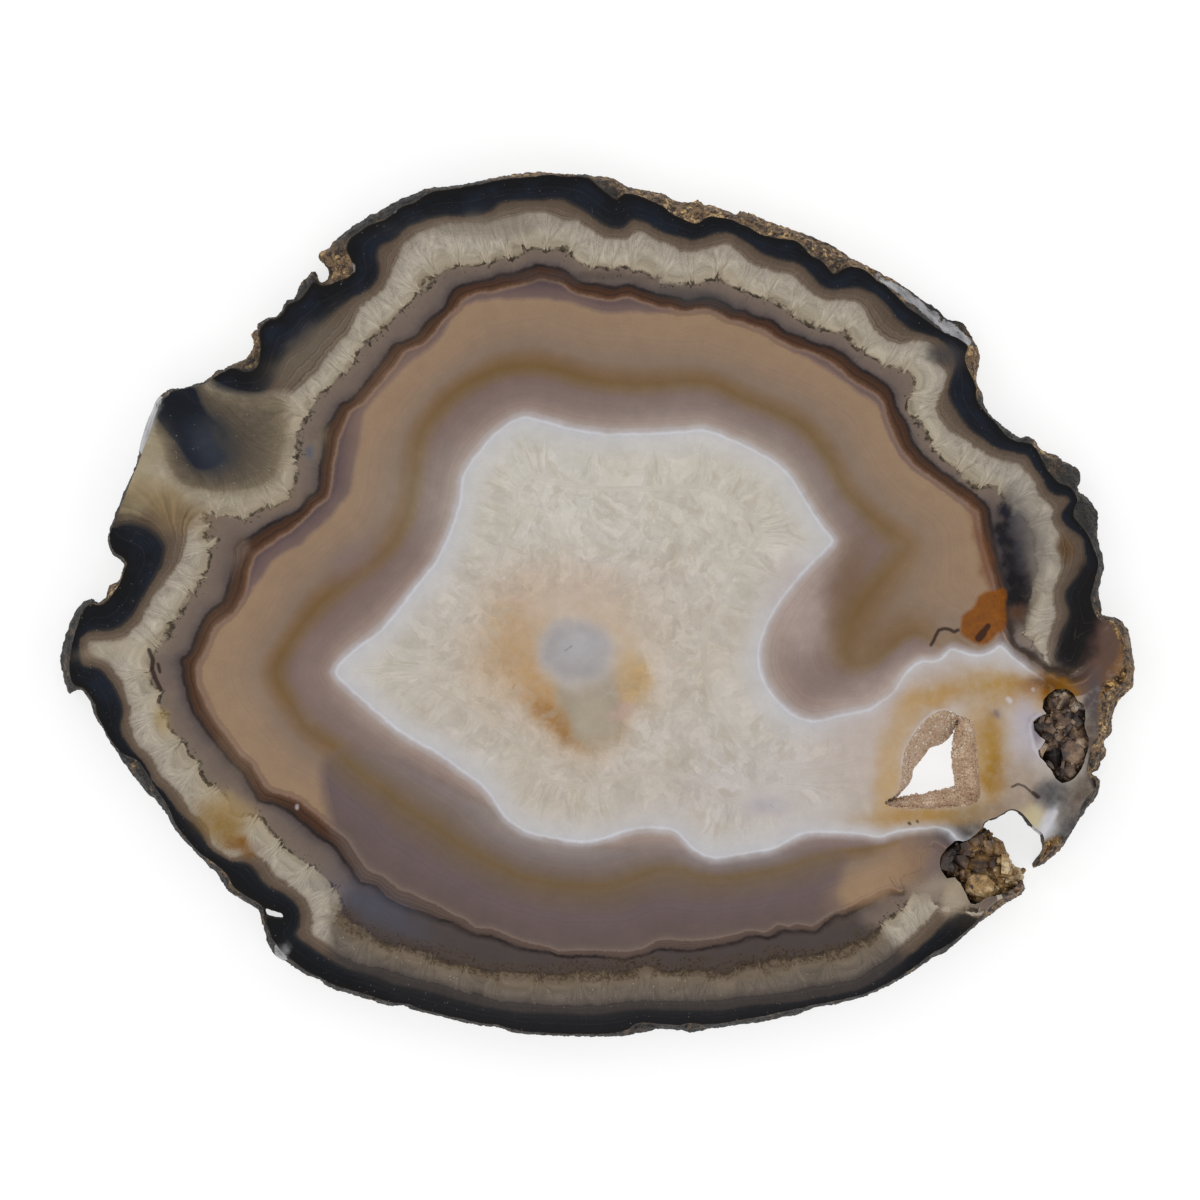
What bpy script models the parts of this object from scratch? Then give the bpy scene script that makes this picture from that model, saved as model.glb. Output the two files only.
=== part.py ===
"""A slice of agate: a sawn slab with its rough rind, and the crystal crusts of its three hollows."""

import math
import random

import bmesh
import bpy
from mathutils import Vector, geometry, noise

# Driving dimensions, in metres. The slab lies on its lower sawn face, at z = 0.
SLICE_LENGTH = 0.150
THICKNESS = 0.006
GAP = 0.00035
CUTTER_OVERRUN = 0.001

# The outlines below are in pixels of the photograph, x to the right and y down.
PIXEL_LEFT, PIXEL_RIGHT = 57.5, 1137.0
PIXEL_CENTRE = (597.25, 604.5)
METRES_PER_PIXEL = SLICE_LENGTH / (PIXEL_RIGHT - PIXEL_LEFT)

# The rind's rings. Each surface has its roughness, the heights of its shelf and of its widest
# line as shares of the thickness, and how far the shelf lies from the face to the widest line.
SURFACES = {
    "rind": (1.0, 0.86, 0.50, 0.55),
    "glassy chip": (0.08, 0.80, 0.52, 0.50),
    "broad scar": (0.15, 0.55, 0.45, 0.50),
}
FOOT_HEIGHT = 0.22
UNDERCUT_SHARE, UNDERCUT_LEAST, UNDERCUT_MOST = 0.5, 1.2, 3.5
# How far the rind's points wander sideways, in pixels, and up, as a share of the thickness.
RIND_WANDER, RIND_LIFT = 1.1, 0.05
WANDER_WAVES = ((0.11, 1.0), (0.30, 0.6))
LIFT_WAVE = 0.17
RING_STEP = 7.3
NARROW_RIND = 8

# The cavity's lining: the share of the way from rim to throat that the slab's own wall takes,
# the height of the crust's crown and foot, and the size of its crystals.
LINED_FIRST, LINED_LAST = 4, 20
LINED_WALL_SHARE = 0.38
LINING_CROWN, LINING_FOOT, LINING_SHOULDER = 0.80, 0.06, 0.20
LINING_ROWS, LINING_STEPS, LINING_TAPER = 5, 3, 5
LINING_LUMP_SHARE, LINING_LUMP_HEIGHT = 0.05, 0.00055

# The two crystal beds: spacing in pixels, height of the tallest crystals in metres.
CRUST_INSET = 3.0
BROWN_SPACING, BROWN_TALL = 6.6, 0.0011
PIT_SPACING, PIT_TALL = 6.0, 0.0009
PEAK_SHARE = 0.38
EDGE_SHARE = 0.45
SCATTER = 0.28

# Stations round the rim, clockwise from the left nick. Each row is the widest line's x, y and
# the polished face's x, y. A broad scar's row has the scar's outer edge between the two.
LEFT_CHIP = (
    (109, 552, 112, 550),
    (107, 546, 110, 545),
    (106, 538, 109, 536),
    (108, 529, 111, 529),
    (112, 517, 116, 517),
    (118, 502, 122, 503),
    (122, 491, 126, 492),
    (127, 481, 130, 482),
    (131, 471, 134, 472),
    (135, 459, 139, 460),
    (138, 447, 143, 449),
    (142, 434, 148, 437),
    (146, 421, 152, 425),
    (151, 410, 156, 413),
    (156, 398, 162, 402),
    (162, 392, 168, 395),
    (170, 387.5, 171, 391),
    (180, 387, 180, 389),
    (192, 384, 192, 386.5),
    (202, 380, 203, 384),
    (209, 375, 211, 379),
    (214, 370, 218, 374),
    (222, 368, 224, 371),
    (228, 364, 230, 368),
)
UPPER_LEFT_RIND = (
    (236, 361, 237, 368),
    (244, 357, 243, 371),
    (249, 351, 248.5, 371),
    (252, 346, 254, 369),
    (252, 340, 258, 364),
    (250, 334, 259, 356),
    (252, 329, 260, 347),
    (255.5, 327, 259, 338),
    (256, 323, 259, 330),
    (260, 320, 262, 325),
    (268, 316, 269, 319),
    (275, 315, 276, 318),
    (280, 310, 282, 313),
    (282, 304, 285, 307),
    (285, 299, 289, 303),
    (292, 297, 294, 301),
    (295, 292, 299, 299),
    (297, 286, 303, 295),
    (301, 280, 306, 291),
    (305.5, 275, 308.5, 287),
    (309, 270, 312, 282),
    (315, 270, 315.5, 281),
    (318, 276, 318.5, 282.5),
    (321, 280.5, 322, 285),
    (326, 277, 330, 284),
    (327, 270, 339, 280),
    (323, 265, 348, 277),
    (318, 260, 353.5, 271),
    (316.5, 255, 352, 263),
    (320, 250, 349, 256),
    (327, 246.5, 346, 250),
    (332, 240, 347, 243),
    (341, 232, 352, 236),
    (351, 224.5, 360, 231),
    (360, 219, 368, 225),
    (368, 213, 377, 222),
    (378, 209, 385, 219),
    (390, 202, 393, 213),
    (402, 196, 402, 206),
    (417, 190, 415, 202),
    (426, 186, 424, 195),
    (437, 185, 437, 190),
    (447, 184.5, 448, 189),
    (460, 183, 460, 187),
    (471, 181, 471, 185),
    (482, 178, 483, 183),
    (495, 175, 495, 180),
    (510, 173, 510, 178),
    (522, 171, 522, 177),
    (535, 170, 535, 176),
    (550, 170.5, 549, 174),
    (565, 172, 563, 176),
    (580, 172, 578, 176),
    (592, 173.5, 590, 178),
    (604, 174, 600, 187),
    (614, 176, 609, 194),
    (621, 180, 617, 199),
    (629, 184.5, 624, 193),
)
UPPER_RIGHT_RIND = (
    (641, 187, 638, 195),
    (650, 188.5, 650, 200),
    (660, 190.5, 660, 204),
    (667, 193, 667, 209),
    (672, 197, 673, 214),
    (683, 200, 684, 219),
    (693, 200, 693, 223),
    (698, 198, 700, 222),
    (703, 200, 705, 218),
    (706, 203, 711, 216),
    (713, 203, 718, 217),
    (722, 207, 727, 218),
    (731, 210, 734, 220),
    (736, 212, 741, 224),
    (740, 209, 747, 226),
    (748, 210.5, 754, 230),
    (758, 214, 761, 234),
    (770, 219, 769, 236),
    (780, 223, 778, 238),
    (790, 226, 788, 239),
    (800, 230, 797, 241),
    (812, 234, 804, 247),
    (821, 239, 812, 256),
    (830, 242, 820, 259),
    (836, 245, 827, 266),
    (842, 249, 834, 274),
    (848, 253, 842, 269),
    (853, 257, 850, 266),
    (861, 260, 860, 267.5),
)
UPPER_RIGHT_SCAR = (
    (870, 265, 870, 270, 869, 272),
    (879, 270, 879, 277.5, 877, 279.5),
    (888, 275, 888, 280, 886, 285),
    (898, 279.5, 896, 283, 892, 291),
    (907, 286, 904, 289, 898, 297),
    (914, 291, 911, 296, 904, 303),
    (921, 297, 917, 299, 911, 309),
    (928, 301, 924, 303, 919, 314),
    (937, 306, 930, 310, 927, 320),
    (943, 312, 937, 316, 935, 326),
    (949, 318, 943, 322, 943, 331),
    (957, 318.5, 950, 326, 951, 335),
    (964, 321, 958, 327, 958, 338),
    (970, 329, 965, 331, 964, 342),
    (975, 338, 970, 338, 968, 346),
)
RIGHT_RIND = (
    (980, 345, 967, 351),
    (982, 355, 965, 358),
    (981, 366, 967, 366),
    (979, 375, 971, 374),
    (979, 383, 975, 382),
    (982, 389, 977, 389),
    (985, 395, 976.5, 396),
    (985, 401, 979, 403),
    (989, 409, 985, 410),
    (994, 416, 991, 417),
    (1001, 421, 998, 424),
    (1007, 427, 1003, 431),
    (1014, 431, 1009, 437),
    (1022, 436, 1017, 441),
    (1028, 434, 1025, 442),
    (1034, 437, 1032, 444),
    (1039, 441, 1037, 449),
    (1041, 446, 1040, 455),
    (1049, 451, 1044, 462),
    (1058, 453, 1047, 469),
    (1065, 459, 1052, 475),
    (1073, 463, 1057, 481),
    (1080, 468, 1063, 484),
    (1083, 476, 1069, 486),
    (1081, 484, 1073, 490),
    (1081, 490, 1077, 496),
    (1089, 496, 1077.5, 502),
    (1096, 504, 1074.5, 509),
    (1100, 513, 1074, 516),
    (1101, 522, 1079, 523),
    (1100, 531, 1085, 530),
    (1101, 541, 1090, 538),
    (1103, 551, 1094, 548),
    (1106, 561, 1098, 558),
    (1106, 568, 1098.5, 567),
    (1104, 577, 1096, 577),
    (1101, 588, 1094, 587),
    (1102, 598, 1091, 596),
    (1104, 606, 1092, 604),
    (1103, 613, 1095, 613),
    (1107, 614.5, 1102, 621),
    (1114, 616, 1111, 621),
    (1121, 618.5, 1117, 627),
    (1127, 624, 1121, 634),
    (1131, 632, 1123, 642),
    (1134, 643, 1123.5, 651),
    (1135, 655, 1126, 660),
    (1137, 668, 1128, 669),
    (1136.5, 680, 1126, 678),
    (1134, 688, 1122, 684),
    (1127, 695, 1114, 688),
    (1121, 702, 1106, 692),
    (1117, 709, 1101, 699),
    (1115, 717, 1101, 709),
    (1114, 724, 1102, 718),
    (1115, 730, 1101, 727),
    (1112, 736, 1098, 734),
    (1106, 742, 1094, 741),
    (1109, 750, 1090.5, 749),
    (1108, 757, 1089, 757),
    (1103, 763, 1088, 764),
    (1100, 771, 1087, 769),
    (1094, 773.5, 1089, 773.5),
    (1100, 777, 1094, 778),
    (1102, 784, 1097, 785),
    (1101, 792, 1093, 791),
    (1097, 800, 1086, 799),
    (1091, 808, 1081, 807),
    (1085, 816, 1080, 814),
    (1079, 823, 1076.5, 822),
    (1074, 832, 1071, 831),
    (1069, 843, 1063, 840),
    (1061, 852, 1055, 846),
    (1052, 860, 1048, 854),
    (1043, 866, 1041, 861.5),
    (1034, 870, 1036, 866),
    (1032, 865.5, 1034.5, 863.5),
    (1038, 857, 1040.5, 857.5),
    (1042.5, 850, 1045.5, 850),
)
OPEN_NOTCH = (
    (1041, 842, 1044, 841.5),
    (1040, 836, 1042.5, 834),
    (1034, 831, 1036, 828.5),
    (1027, 825, 1029, 822),
    (1022, 818, 1024, 815.5),
    (1018, 814, 1019, 811.5),
    (1011, 812, 1011, 809.5),
    (1005, 816, 1003, 813.5),
    (998, 820, 997, 817.5),
    (991, 822, 989, 820),
    (986, 826, 983, 825),
    (988, 833, 985, 834),
    (992, 842, 989.5, 843),
    (997, 851, 995, 852.5),
    (1002, 859, 1000, 861.5),
    (1007, 864, 1006, 867),
    (1015, 868.5, 1014, 871.5),
    (1021, 872, 1019, 875),
    (1024, 880, 1021, 881),
)
LOWER_RIND = (
    (1027, 889, 1022, 888),
    (1023, 896, 1018, 893),
    (1014, 902, 1008, 897),
    (1003, 908, 998, 900.5),
    (995, 915, 990, 907),
    (986, 921, 982, 915),
    (976, 929, 973, 925),
    (965, 938, 962, 935),
    (956, 946, 952, 943),
    (950, 952, 944, 948),
    (940, 957, 935, 952),
    (928, 964, 925, 959.5),
    (918, 971, 915, 967),
    (908, 977, 905, 974),
    (900, 982, 897, 979),
    (892, 986, 889, 983),
    (880, 992, 877, 989),
    (866, 998, 863, 995),
    (852, 1002, 850, 998),
    (838, 1006, 836, 1001),
    (824, 1008.5, 822, 1004),
    (812, 1010.5, 810, 1006),
    (803, 1015, 799, 1009),
    (795, 1018, 788, 1011),
    (780, 1020, 775, 1014),
    (766, 1023, 762, 1017),
    (750, 1025.5, 748, 1019),
    (735, 1028, 733, 1022),
    (720, 1030, 718, 1024),
    (708, 1031, 706, 1025),
    (698, 1034, 697, 1024),
    (690, 1035, 688, 1023.5),
    (682, 1033, 680, 1026),
    (670, 1031.5, 668, 1025),
    (656, 1031, 656, 1024),
    (648, 1034, 646, 1023),
    (636, 1036, 636, 1024),
    (628, 1038, 628, 1030),
    (614, 1038.5, 614, 1033.5),
    (600, 1039, 600, 1034.5),
    (585, 1038.5, 585, 1034.5),
    (570, 1038.5, 570, 1034.5),
    (555, 1038, 555, 1034),
    (540, 1037, 540, 1033),
    (525, 1036, 525, 1032),
    (512, 1034.5, 512, 1029.5),
    (503, 1031, 503, 1027),
    (494, 1028.5, 494, 1025),
    (480, 1028, 480, 1023.5),
    (465, 1024.5, 465, 1020),
    (450, 1021, 450, 1017),
    (435, 1018, 436, 1013.5),
    (420, 1014, 421, 1010),
    (411, 1011.5, 412, 1006),
    (403, 1007.5, 403, 1004),
    (392, 1008, 392, 1003),
    (380, 1005.5, 381, 1000),
    (368, 1001.5, 369, 996),
    (355, 998, 356, 992),
    (340, 993.5, 341, 988),
    (328, 989, 330, 984),
    (319, 982, 320, 978),
    (309, 978.5, 310, 974),
    (299, 973.5, 301, 968),
)
LOWER_LEFT_CHIP = (
    (289, 966, 291, 960),
    (279, 959.5, 282, 952),
    (272, 955, 276, 945),
    (267, 946, 271, 938),
    (264, 935, 268, 929),
    (260.5, 925, 264.5, 922),
    (259.5, 918, 263, 916),
)
LEFT_RIND = (
    (256.5, 912, 262, 907),
    (248, 905.5, 254, 901),
    (240, 901, 245, 896),
    (231, 896.5, 236, 890),
    (225, 892, 231, 884),
    (221, 885, 228, 877),
    (217, 878.5, 222, 870),
    (215, 873, 215, 864),
    (209, 869.5, 208, 859.5),
    (201, 861, 200, 854),
    (192, 852, 192, 846),
    (184, 843, 185, 837),
    (177, 835, 178, 829),
    (171, 828, 173, 820),
    (168, 820, 170, 812),
    (163, 812, 166, 804),
    (156, 804, 160, 795),
    (148, 797.5, 154, 786),
    (141, 790, 149, 777),
    (136, 783, 144, 769),
    (130, 775, 139, 762),
    (125, 768, 132, 758),
    (119, 760, 124, 755),
    (112, 749, 115, 747),
    (106, 739, 109, 738),
    (101, 729, 104, 729),
    (96, 722, 100, 722),
    (92, 715, 96, 714),
    (90, 708, 95, 706),
    (87, 701, 91.5, 699.5),
    (83, 695, 87, 693),
    (79, 691, 82, 688),
    (73, 693, 76, 687),
)
LEFT_TIP_CHIP = (
    (69, 695, 72, 683),
    (66, 692, 70, 678),
    (63, 684, 69, 671),
    (60, 673, 69, 663),
    (57.5, 661, 70, 654),
    (59, 650, 71.5, 645),
    (62, 640, 74, 635),
    (66, 629, 77, 626),
    (70, 618, 80, 617),
    (74, 609, 84, 609),
    (79, 604, 87.5, 605),
    (86, 599, 90.5, 603.5),
)
LEFT_NICK = (
    (91, 597, 94, 603.5),
    (94.5, 601, 98.5, 604.5),
    (99, 600.5, 103.5, 603),
    (103, 597, 109.5, 597.5),
    (106, 588, 114, 591),
    (111, 583, 118, 585),
    (118, 579, 121.5, 577),
    (119.5, 571, 123.5, 570),
    (122.5, 565, 126.5, 564),
    (118, 560, 121, 557),
    (112.5, 557, 115, 554),
)
RIM = (
    ("glassy chip", LEFT_CHIP),
    ("rind", UPPER_LEFT_RIND),
    ("rind", UPPER_RIGHT_RIND),
    ("broad scar", UPPER_RIGHT_SCAR),
    ("rind", RIGHT_RIND),
    ("rind", OPEN_NOTCH),
    ("rind", LOWER_RIND),
    ("glassy chip", LOWER_LEFT_CHIP),
    ("rind", LEFT_RIND),
    ("glassy chip", LEFT_TIP_CHIP),
    ("rind", LEFT_NICK),
)

# The cavity that goes right through, clockwise from its top. Each row is the x, y of its rim on
# the polished face and of its throat, the narrowest line.
CAVITY = (
    (941, 711, 945, 744),
    (948, 711, 950, 740),
    (954, 713, 953, 736),
    (958, 716, 955, 732),
    (965, 717, 954.5, 735),
    (971, 721, 953, 740),
    (974, 730, 953, 747),
    (976, 742, 952, 754),
    (977, 754, 952, 761),
    (978, 766, 952, 768),
    (979, 778, 954, 775),
    (980, 789, 955, 781),
    (979, 798, 953, 787),
    (973, 804, 947, 788),
    (962, 806, 940, 790),
    (948, 807, 932, 792),
    (934, 808, 924, 794),
    (920, 808, 916, 795),
    (907, 808, 909, 796),
    (896, 807, 903, 797.5),
    (887, 805, 899, 799),
    (885, 802, 898, 799.5),
    (892, 798, 901, 796),
    (898, 793, 904, 792),
    (901, 786, 908, 788),
    (902, 778, 912, 783),
    (902, 770, 914, 777),
    (903, 762, 915, 770),
    (904, 754, 919, 766),
    (907, 746, 922, 761),
    (911, 739, 926, 757),
    (916, 732, 929, 752),
    (921, 725, 934, 748),
    (927, 719, 939, 746.5),
    (934, 714, 942, 745.5),
)
SLIT = (
    (265, 909),
    (271, 911),
    (278, 912.5),
    (282, 915),
    (282, 918),
    (277, 918),
    (271, 917),
    (266, 915),
)

# The brown crystals' hollow, which the open notch cuts across, clockwise from the notch.
CRYSTAL_HOLLOW_EDGE = (
    (1021, 881),
    (1015, 887),
    (1009, 891),
    (1001, 894),
    (992, 896),
    (984, 899),
    (976, 904),
    (971, 903),
    (966, 893),
    (961, 883),
    (955, 877),
    (947, 878),
    (942, 871),
    (940, 863),
    (942, 855),
    (948, 848),
    (955, 841),
    (963, 842),
    (971, 839),
    (977, 834),
    (983, 828),
)
CRYSTAL_HOLLOW_MOUTH = ((991, 820), (1010, 850), (1026, 862), (1032, 876))
CRYSTAL_CRUST_MOUTH = ((988, 834), (992, 843), (997, 852), (1003, 861), (1010, 867), (1018, 873))
CRYSTAL_HOLLOW_DEPTH = (0.0026, 0.0044)
CRYSTAL_HOLLOW_SPAN = (940, 1010)

# The pitted hollow on the right, clockwise from its top.
PIT_EDGE = (
    (1056, 690),
    (1066, 689),
    (1073, 694),
    (1077, 701),
    (1084, 705),
    (1085, 716),
    (1084, 727),
    (1088, 737),
    (1088, 747),
    (1085, 757),
    (1082, 767),
    (1077, 775),
    (1070, 781),
    (1062, 783),
    (1056, 778),
    (1052, 770),
    (1046, 763),
    (1040, 757),
    (1039, 751),
    (1044, 745),
    (1046, 740),
    (1040, 736),
    (1035, 730),
    (1034, 722),
    (1040, 717),
    (1047, 714),
    (1043, 708),
    (1044, 700),
    (1049, 694),
)
PIT_DEPTH = (0.0026, 0.0026)
PIT_SPAN = (1034, 1088)


def place(x, y, z):
    """A point of the photograph, at a height in metres."""
    left, top = PIXEL_CENTRE
    return Vector(((x - left) * METRES_PER_PIXEL, (top - y) * METRES_PER_PIXEL, z))


def curved(points, steps):
    """A closed smooth curve through the points, with this many steps to each."""
    count = len(points)
    line = []
    for i in range(count):
        before, here = Vector(points[i - 1]), Vector(points[i])
        after, beyond = Vector(points[(i + 1) % count]), Vector(points[(i + 2) % count])
        slope = after - before
        bend = 2 * before - 5 * here + 4 * after - beyond
        twist = 3 * here - before - 3 * after + beyond
        for step in range(steps):
            t = step / steps
            line.append(here + 0.5 * (slope * t + bend * t**2 + twist * t**3))
    return line


def inset(outline, distance):
    """A clockwise pixel outline moved inwards by this many pixels."""
    moved = []
    for i, here in enumerate(outline):
        along = (Vector(outline[(i + 1) % len(outline)]) - Vector(outline[i - 1])).normalized()
        moved.append((here[0] - along.y * distance, here[1] + along.x * distance))
    return moved


def well_inside(spot, outline, margin):
    """Whether a spot is inside the outline and at least the margin from its edge."""
    inside = False
    for i, a in enumerate(outline):
        b = outline[i - 1]
        if (a[1] > spot[1]) != (b[1] > spot[1]):
            crossing = a[0] + (spot[1] - a[1]) * (b[0] - a[0]) / (b[1] - a[1])
            inside ^= spot[0] < crossing
        near, share = geometry.intersect_point_line(spot, Vector(a), Vector(b))
        near = near.xy if 0 <= share <= 1 else Vector(a)
        if (near - spot).length < margin:
            return False
    return inside


def material(name, colour, roughness):
    made = bpy.data.materials.new(name)
    made.use_nodes = True
    shader = made.node_tree.nodes["Principled BSDF"]
    shader.inputs["Base Color"].default_value = (*colour, 1.0)
    shader.inputs["Roughness"].default_value = roughness
    shader.inputs["Metallic"].default_value = 0.0
    return made


def finished(name, mesh, collection):
    """An object of a bmesh, with its faces turned outwards."""
    bmesh.ops.recalc_face_normals(mesh, faces=mesh.faces)
    if mesh.calc_volume(signed=True) < 0:
        bmesh.ops.reverse_faces(mesh, faces=mesh.faces)
    data = bpy.data.meshes.new(name)
    mesh.to_mesh(data)
    mesh.free()
    obj = bpy.data.objects.new(name, data)
    collection.objects.link(obj)
    return obj


def loft(name, rings, collection):
    """A closed skin over rings of the same number of points, the first ring uppermost."""
    mesh = bmesh.new()
    rows = [[mesh.verts.new(point) for point in ring] for ring in rings]
    for upper, lower in zip(rows, rows[1:]):
        for i in range(len(upper)):
            j = (i + 1) % len(upper)
            mesh.faces.new((upper[i], upper[j], lower[j], lower[i]))
    mesh.faces.new(rows[0])
    mesh.faces.new(rows[-1])
    return finished(name, mesh, collection)


def rim_rows():
    """Every station as one row: widest x, y; shelf x, y; face x, y; roughness; the two heights."""
    rows = []
    for surface, stations in RIM:
        roughness, shelf_height, wide_height, share = SURFACES[surface]
        for station in stations:
            wide, face = station[:2], station[-2:]
            if len(station) == 6:
                shelf = station[2:4]
            else:
                shelf = [f + (w - f) * share for w, f in zip(wide, face)]
            rows.append((*wide, *shelf, *face, roughness, shelf_height, wide_height))
    return rows


def slab_rings():
    """The slab's rings, from the polished face down to the lower sawn face."""
    rings = [[] for _ in range(5)]
    for row in curved(rim_rows(), 2):
        wide, shelf, face = row.xy, Vector(row[2:4]), Vector(row[4:6])
        roughness, shelf_height, wide_height = row[6:9]
        inwards = face - wide
        reach = inwards.length
        inwards.normalize()
        undercut = min(max(UNDERCUT_SHARE * reach, UNDERCUT_LEAST), UNDERCUT_MOST)

        def wandered(point, ring, spread):
            push = 0.0
            for wave, strength in WANDER_WAVES:
                spot = (wide.x * wave, wide.y * wave, ring * RING_STEP)
                push += strength * noise.noise(spot)
            return point + inwards * push * RIND_WANDER * roughness * spread

        def height(share, ring):
            spot = (wide.x * LIFT_WAVE, wide.y * LIFT_WAVE, ring * RING_STEP)
            return THICKNESS * (share + RIND_LIFT * roughness * noise.noise(spot))

        rings[0].append(place(*face, THICKNESS))
        on_shelf = wandered(shelf, 1, min(1.0, reach / NARROW_RIND))
        rings[1].append(place(*on_shelf, height(shelf_height, 1)))
        on_wide = wandered(wide, 2, 0.35) + inwards * 0.3 * roughness
        rings[2].append(place(*on_wide, height(wide_height, 2)))
        below = wandered(wide + inwards * undercut * 0.45, 3, 0.8)
        rings[3].append(place(*below, height(FOOT_HEIGHT, 3)))
        under = wandered(wide + inwards * undercut, 4, 0.5)
        rings[4].append(place(*under, 0.0))
    return rings


def cavity_cutter(collection):
    """The cavity as it is cut from the slab, wide enough to hold the lining on its lined side."""
    rows = []
    for index, (rim_x, rim_y, throat_x, throat_y) in enumerate(CAVITY):
        share = LINED_WALL_SHARE if LINED_FIRST <= index <= LINED_LAST else 1.0
        foot = (rim_x + (throat_x - rim_x) * share, rim_y + (throat_y - rim_y) * share)
        rows.append((rim_x, rim_y, *foot))
    line = curved(rows, 2)
    rings = [
        [place(p[0], p[1], THICKNESS + CUTTER_OVERRUN) for p in line],
        [place(p[0], p[1], THICKNESS) for p in line],
        [place(p[2], p[3], 0.0) for p in line],
        [place(p[2], p[3], -CUTTER_OVERRUN) for p in line],
    ]
    return loft("cavity_cutter", rings, collection)


def floor_height(x, span, depths):
    """The height of a hollow's floor, which falls steadily across its span of pixels."""
    share = (x - span[0]) / (span[1] - span[0])
    return THICKNESS - (depths[0] + (depths[1] - depths[0]) * share)


def hollow_cutter(name, outline, span, depths, collection):
    rings = [
        [place(x, y, THICKNESS + CUTTER_OVERRUN) for x, y in outline],
        [place(x, y, floor_height(x, span, depths)) for x, y in outline],
    ]
    return loft(name, rings, collection)


def slit_cutter(collection):
    line = curved(SLIT, 2)
    levels = (THICKNESS + CUTTER_OVERRUN, -CUTTER_OVERRUN)
    rings = [[place(p.x, p.y, z) for p in line] for z in levels]
    return loft("slit_cutter", rings, collection)


def agate_slab(parts, cutters):
    slab = loft("agate_slice", slab_rings(), parts)
    slab.data.materials.append(material("banded_agate", (0.33, 0.25, 0.21), 0.22))
    mouth = CRYSTAL_HOLLOW_EDGE + CRYSTAL_HOLLOW_MOUTH
    for cutter in (
        cavity_cutter(cutters),
        slit_cutter(cutters),
        hollow_cutter("hollow_cutter", mouth, CRYSTAL_HOLLOW_SPAN, CRYSTAL_HOLLOW_DEPTH, cutters),
        hollow_cutter("pit_cutter", PIT_EDGE, PIT_SPAN, PIT_DEPTH, cutters),
    ):
        cutter.hide_render = True
        cutter.display_type = "WIRE"
        cut = slab.modifiers.new(cutter.name, "BOOLEAN")
        cut.operation = "DIFFERENCE"
        cut.solver = "EXACT"
        cut.object = cutter


def cavity_crystals(parts):
    """The crust of small crystals on the right and lower walls of the through cavity."""
    draw = random.Random(11)
    line = curved(CAVITY, LINING_STEPS)
    first, last = LINED_FIRST * LINING_STEPS, LINED_LAST * LINING_STEPS
    crown, foot, shoulder = (
        share * THICKNESS for share in (LINING_CROWN, LINING_FOOT, LINING_SHOULDER)
    )
    sections = []
    for index in range(first, last + 1):
        row = line[index]
        rim, throat = row.xy, row.zw
        clear = GAP / ((throat - rim).length * METRES_PER_PIXEL)
        wall_foot = LINED_WALL_SHARE + clear
        wall_crown = LINED_WALL_SHARE * (1 - LINING_CROWN) + clear
        swell = min(1.0, (index - first + 1) / LINING_TAPER, (last - index + 1) / LINING_TAPER)

        def at(share, z):
            spot = rim + (throat - rim) * share
            return place(spot.x, spot.y, z)

        def thinned(share):
            return wall_foot + (share - wall_foot) * (0.55 + 0.45 * swell)

        section = [at(wall_foot, foot), at(wall_crown, crown)]
        for k in range(LINING_ROWS):
            t = (k + 0.6) / LINING_ROWS
            share = wall_crown + 0.05 + (0.92 - wall_crown) * t
            if share > wall_foot:
                share = thinned(share)
            lump = draw.uniform(-0.5, 0.5) * swell
            z = crown * (1.02 - 0.62 * t**1.3)
            section.append(at(share + LINING_LUMP_SHARE * lump, z + LINING_LUMP_HEIGHT * lump))
        section.append(at(thinned(0.94), shoulder))
        sections.append(section)
    crust = loft("cavity_crystals", sections, parts)
    crust.data.materials.append(material("cavity_druse", (0.52, 0.38, 0.28), 0.4))


def bed_spots(outline, spacing, draw):
    """Scattered places inside an outline, in staggered rows."""
    xs, ys = zip(*outline)
    spots = []
    for r in range(int((max(ys) - min(ys)) / spacing) + 1):
        for c in range(int((max(xs) - min(xs)) / spacing) + 1):
            x = min(xs) + (c + 0.5 * (r % 2) + draw.uniform(-SCATTER, SCATTER)) * spacing
            y = min(ys) + (r + draw.uniform(-SCATTER, SCATTER)) * spacing
            if well_inside(Vector((x, y)), outline, spacing * 0.42):
                spots.append(Vector((x, y)))
    return spots


def crystal_bed(name, outline, floor, height, spacing, tall, seed, parts):
    """A crust of pointed crystals: a bed of triangles whose points rise by turns."""
    draw = random.Random(seed)
    count = len(outline)
    spots = [Vector(p) for p in outline] + bed_spots(outline, spacing, draw)
    rim_edges = [(i, (i + 1) % count) for i in range(count)]
    places, _, faces, origins, _, _ = geometry.delaunay_2d_cdt(spots, rim_edges, [], 1, 1e-6)
    mesh = bmesh.new()
    partner = {}
    tops, bases = [], []
    for spot, origin in zip(places, origins):
        base = floor(spot.x) + GAP
        rise = height(spot.x, spot.y)
        if min(origin) < count:
            rise *= EDGE_SHARE
        elif draw.random() < PEAK_SHARE:
            rise += tall * draw.uniform(0.7, 1.0)
        else:
            rise += tall * draw.uniform(0.0, 0.35)
        tops.append(mesh.verts.new(place(spot.x, spot.y, base + rise)))
        bases.append(mesh.verts.new(place(spot.x, spot.y, base)))
        partner[tops[-1]] = bases[-1]
    for face in faces:
        middle = sum((places[i] for i in face), Vector((0, 0))) / len(face)
        if well_inside(middle, outline, 0):
            mesh.faces.new([tops[i] for i in face])
            mesh.faces.new([bases[i] for i in reversed(face)])
    for edge in [e for e in mesh.edges if len(e.link_faces) == 1 and e.verts[0] in partner]:
        a, b = edge.verts
        mesh.faces.new((a, b, partner[b], partner[a]))
    return finished(name, mesh, parts)


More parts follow.
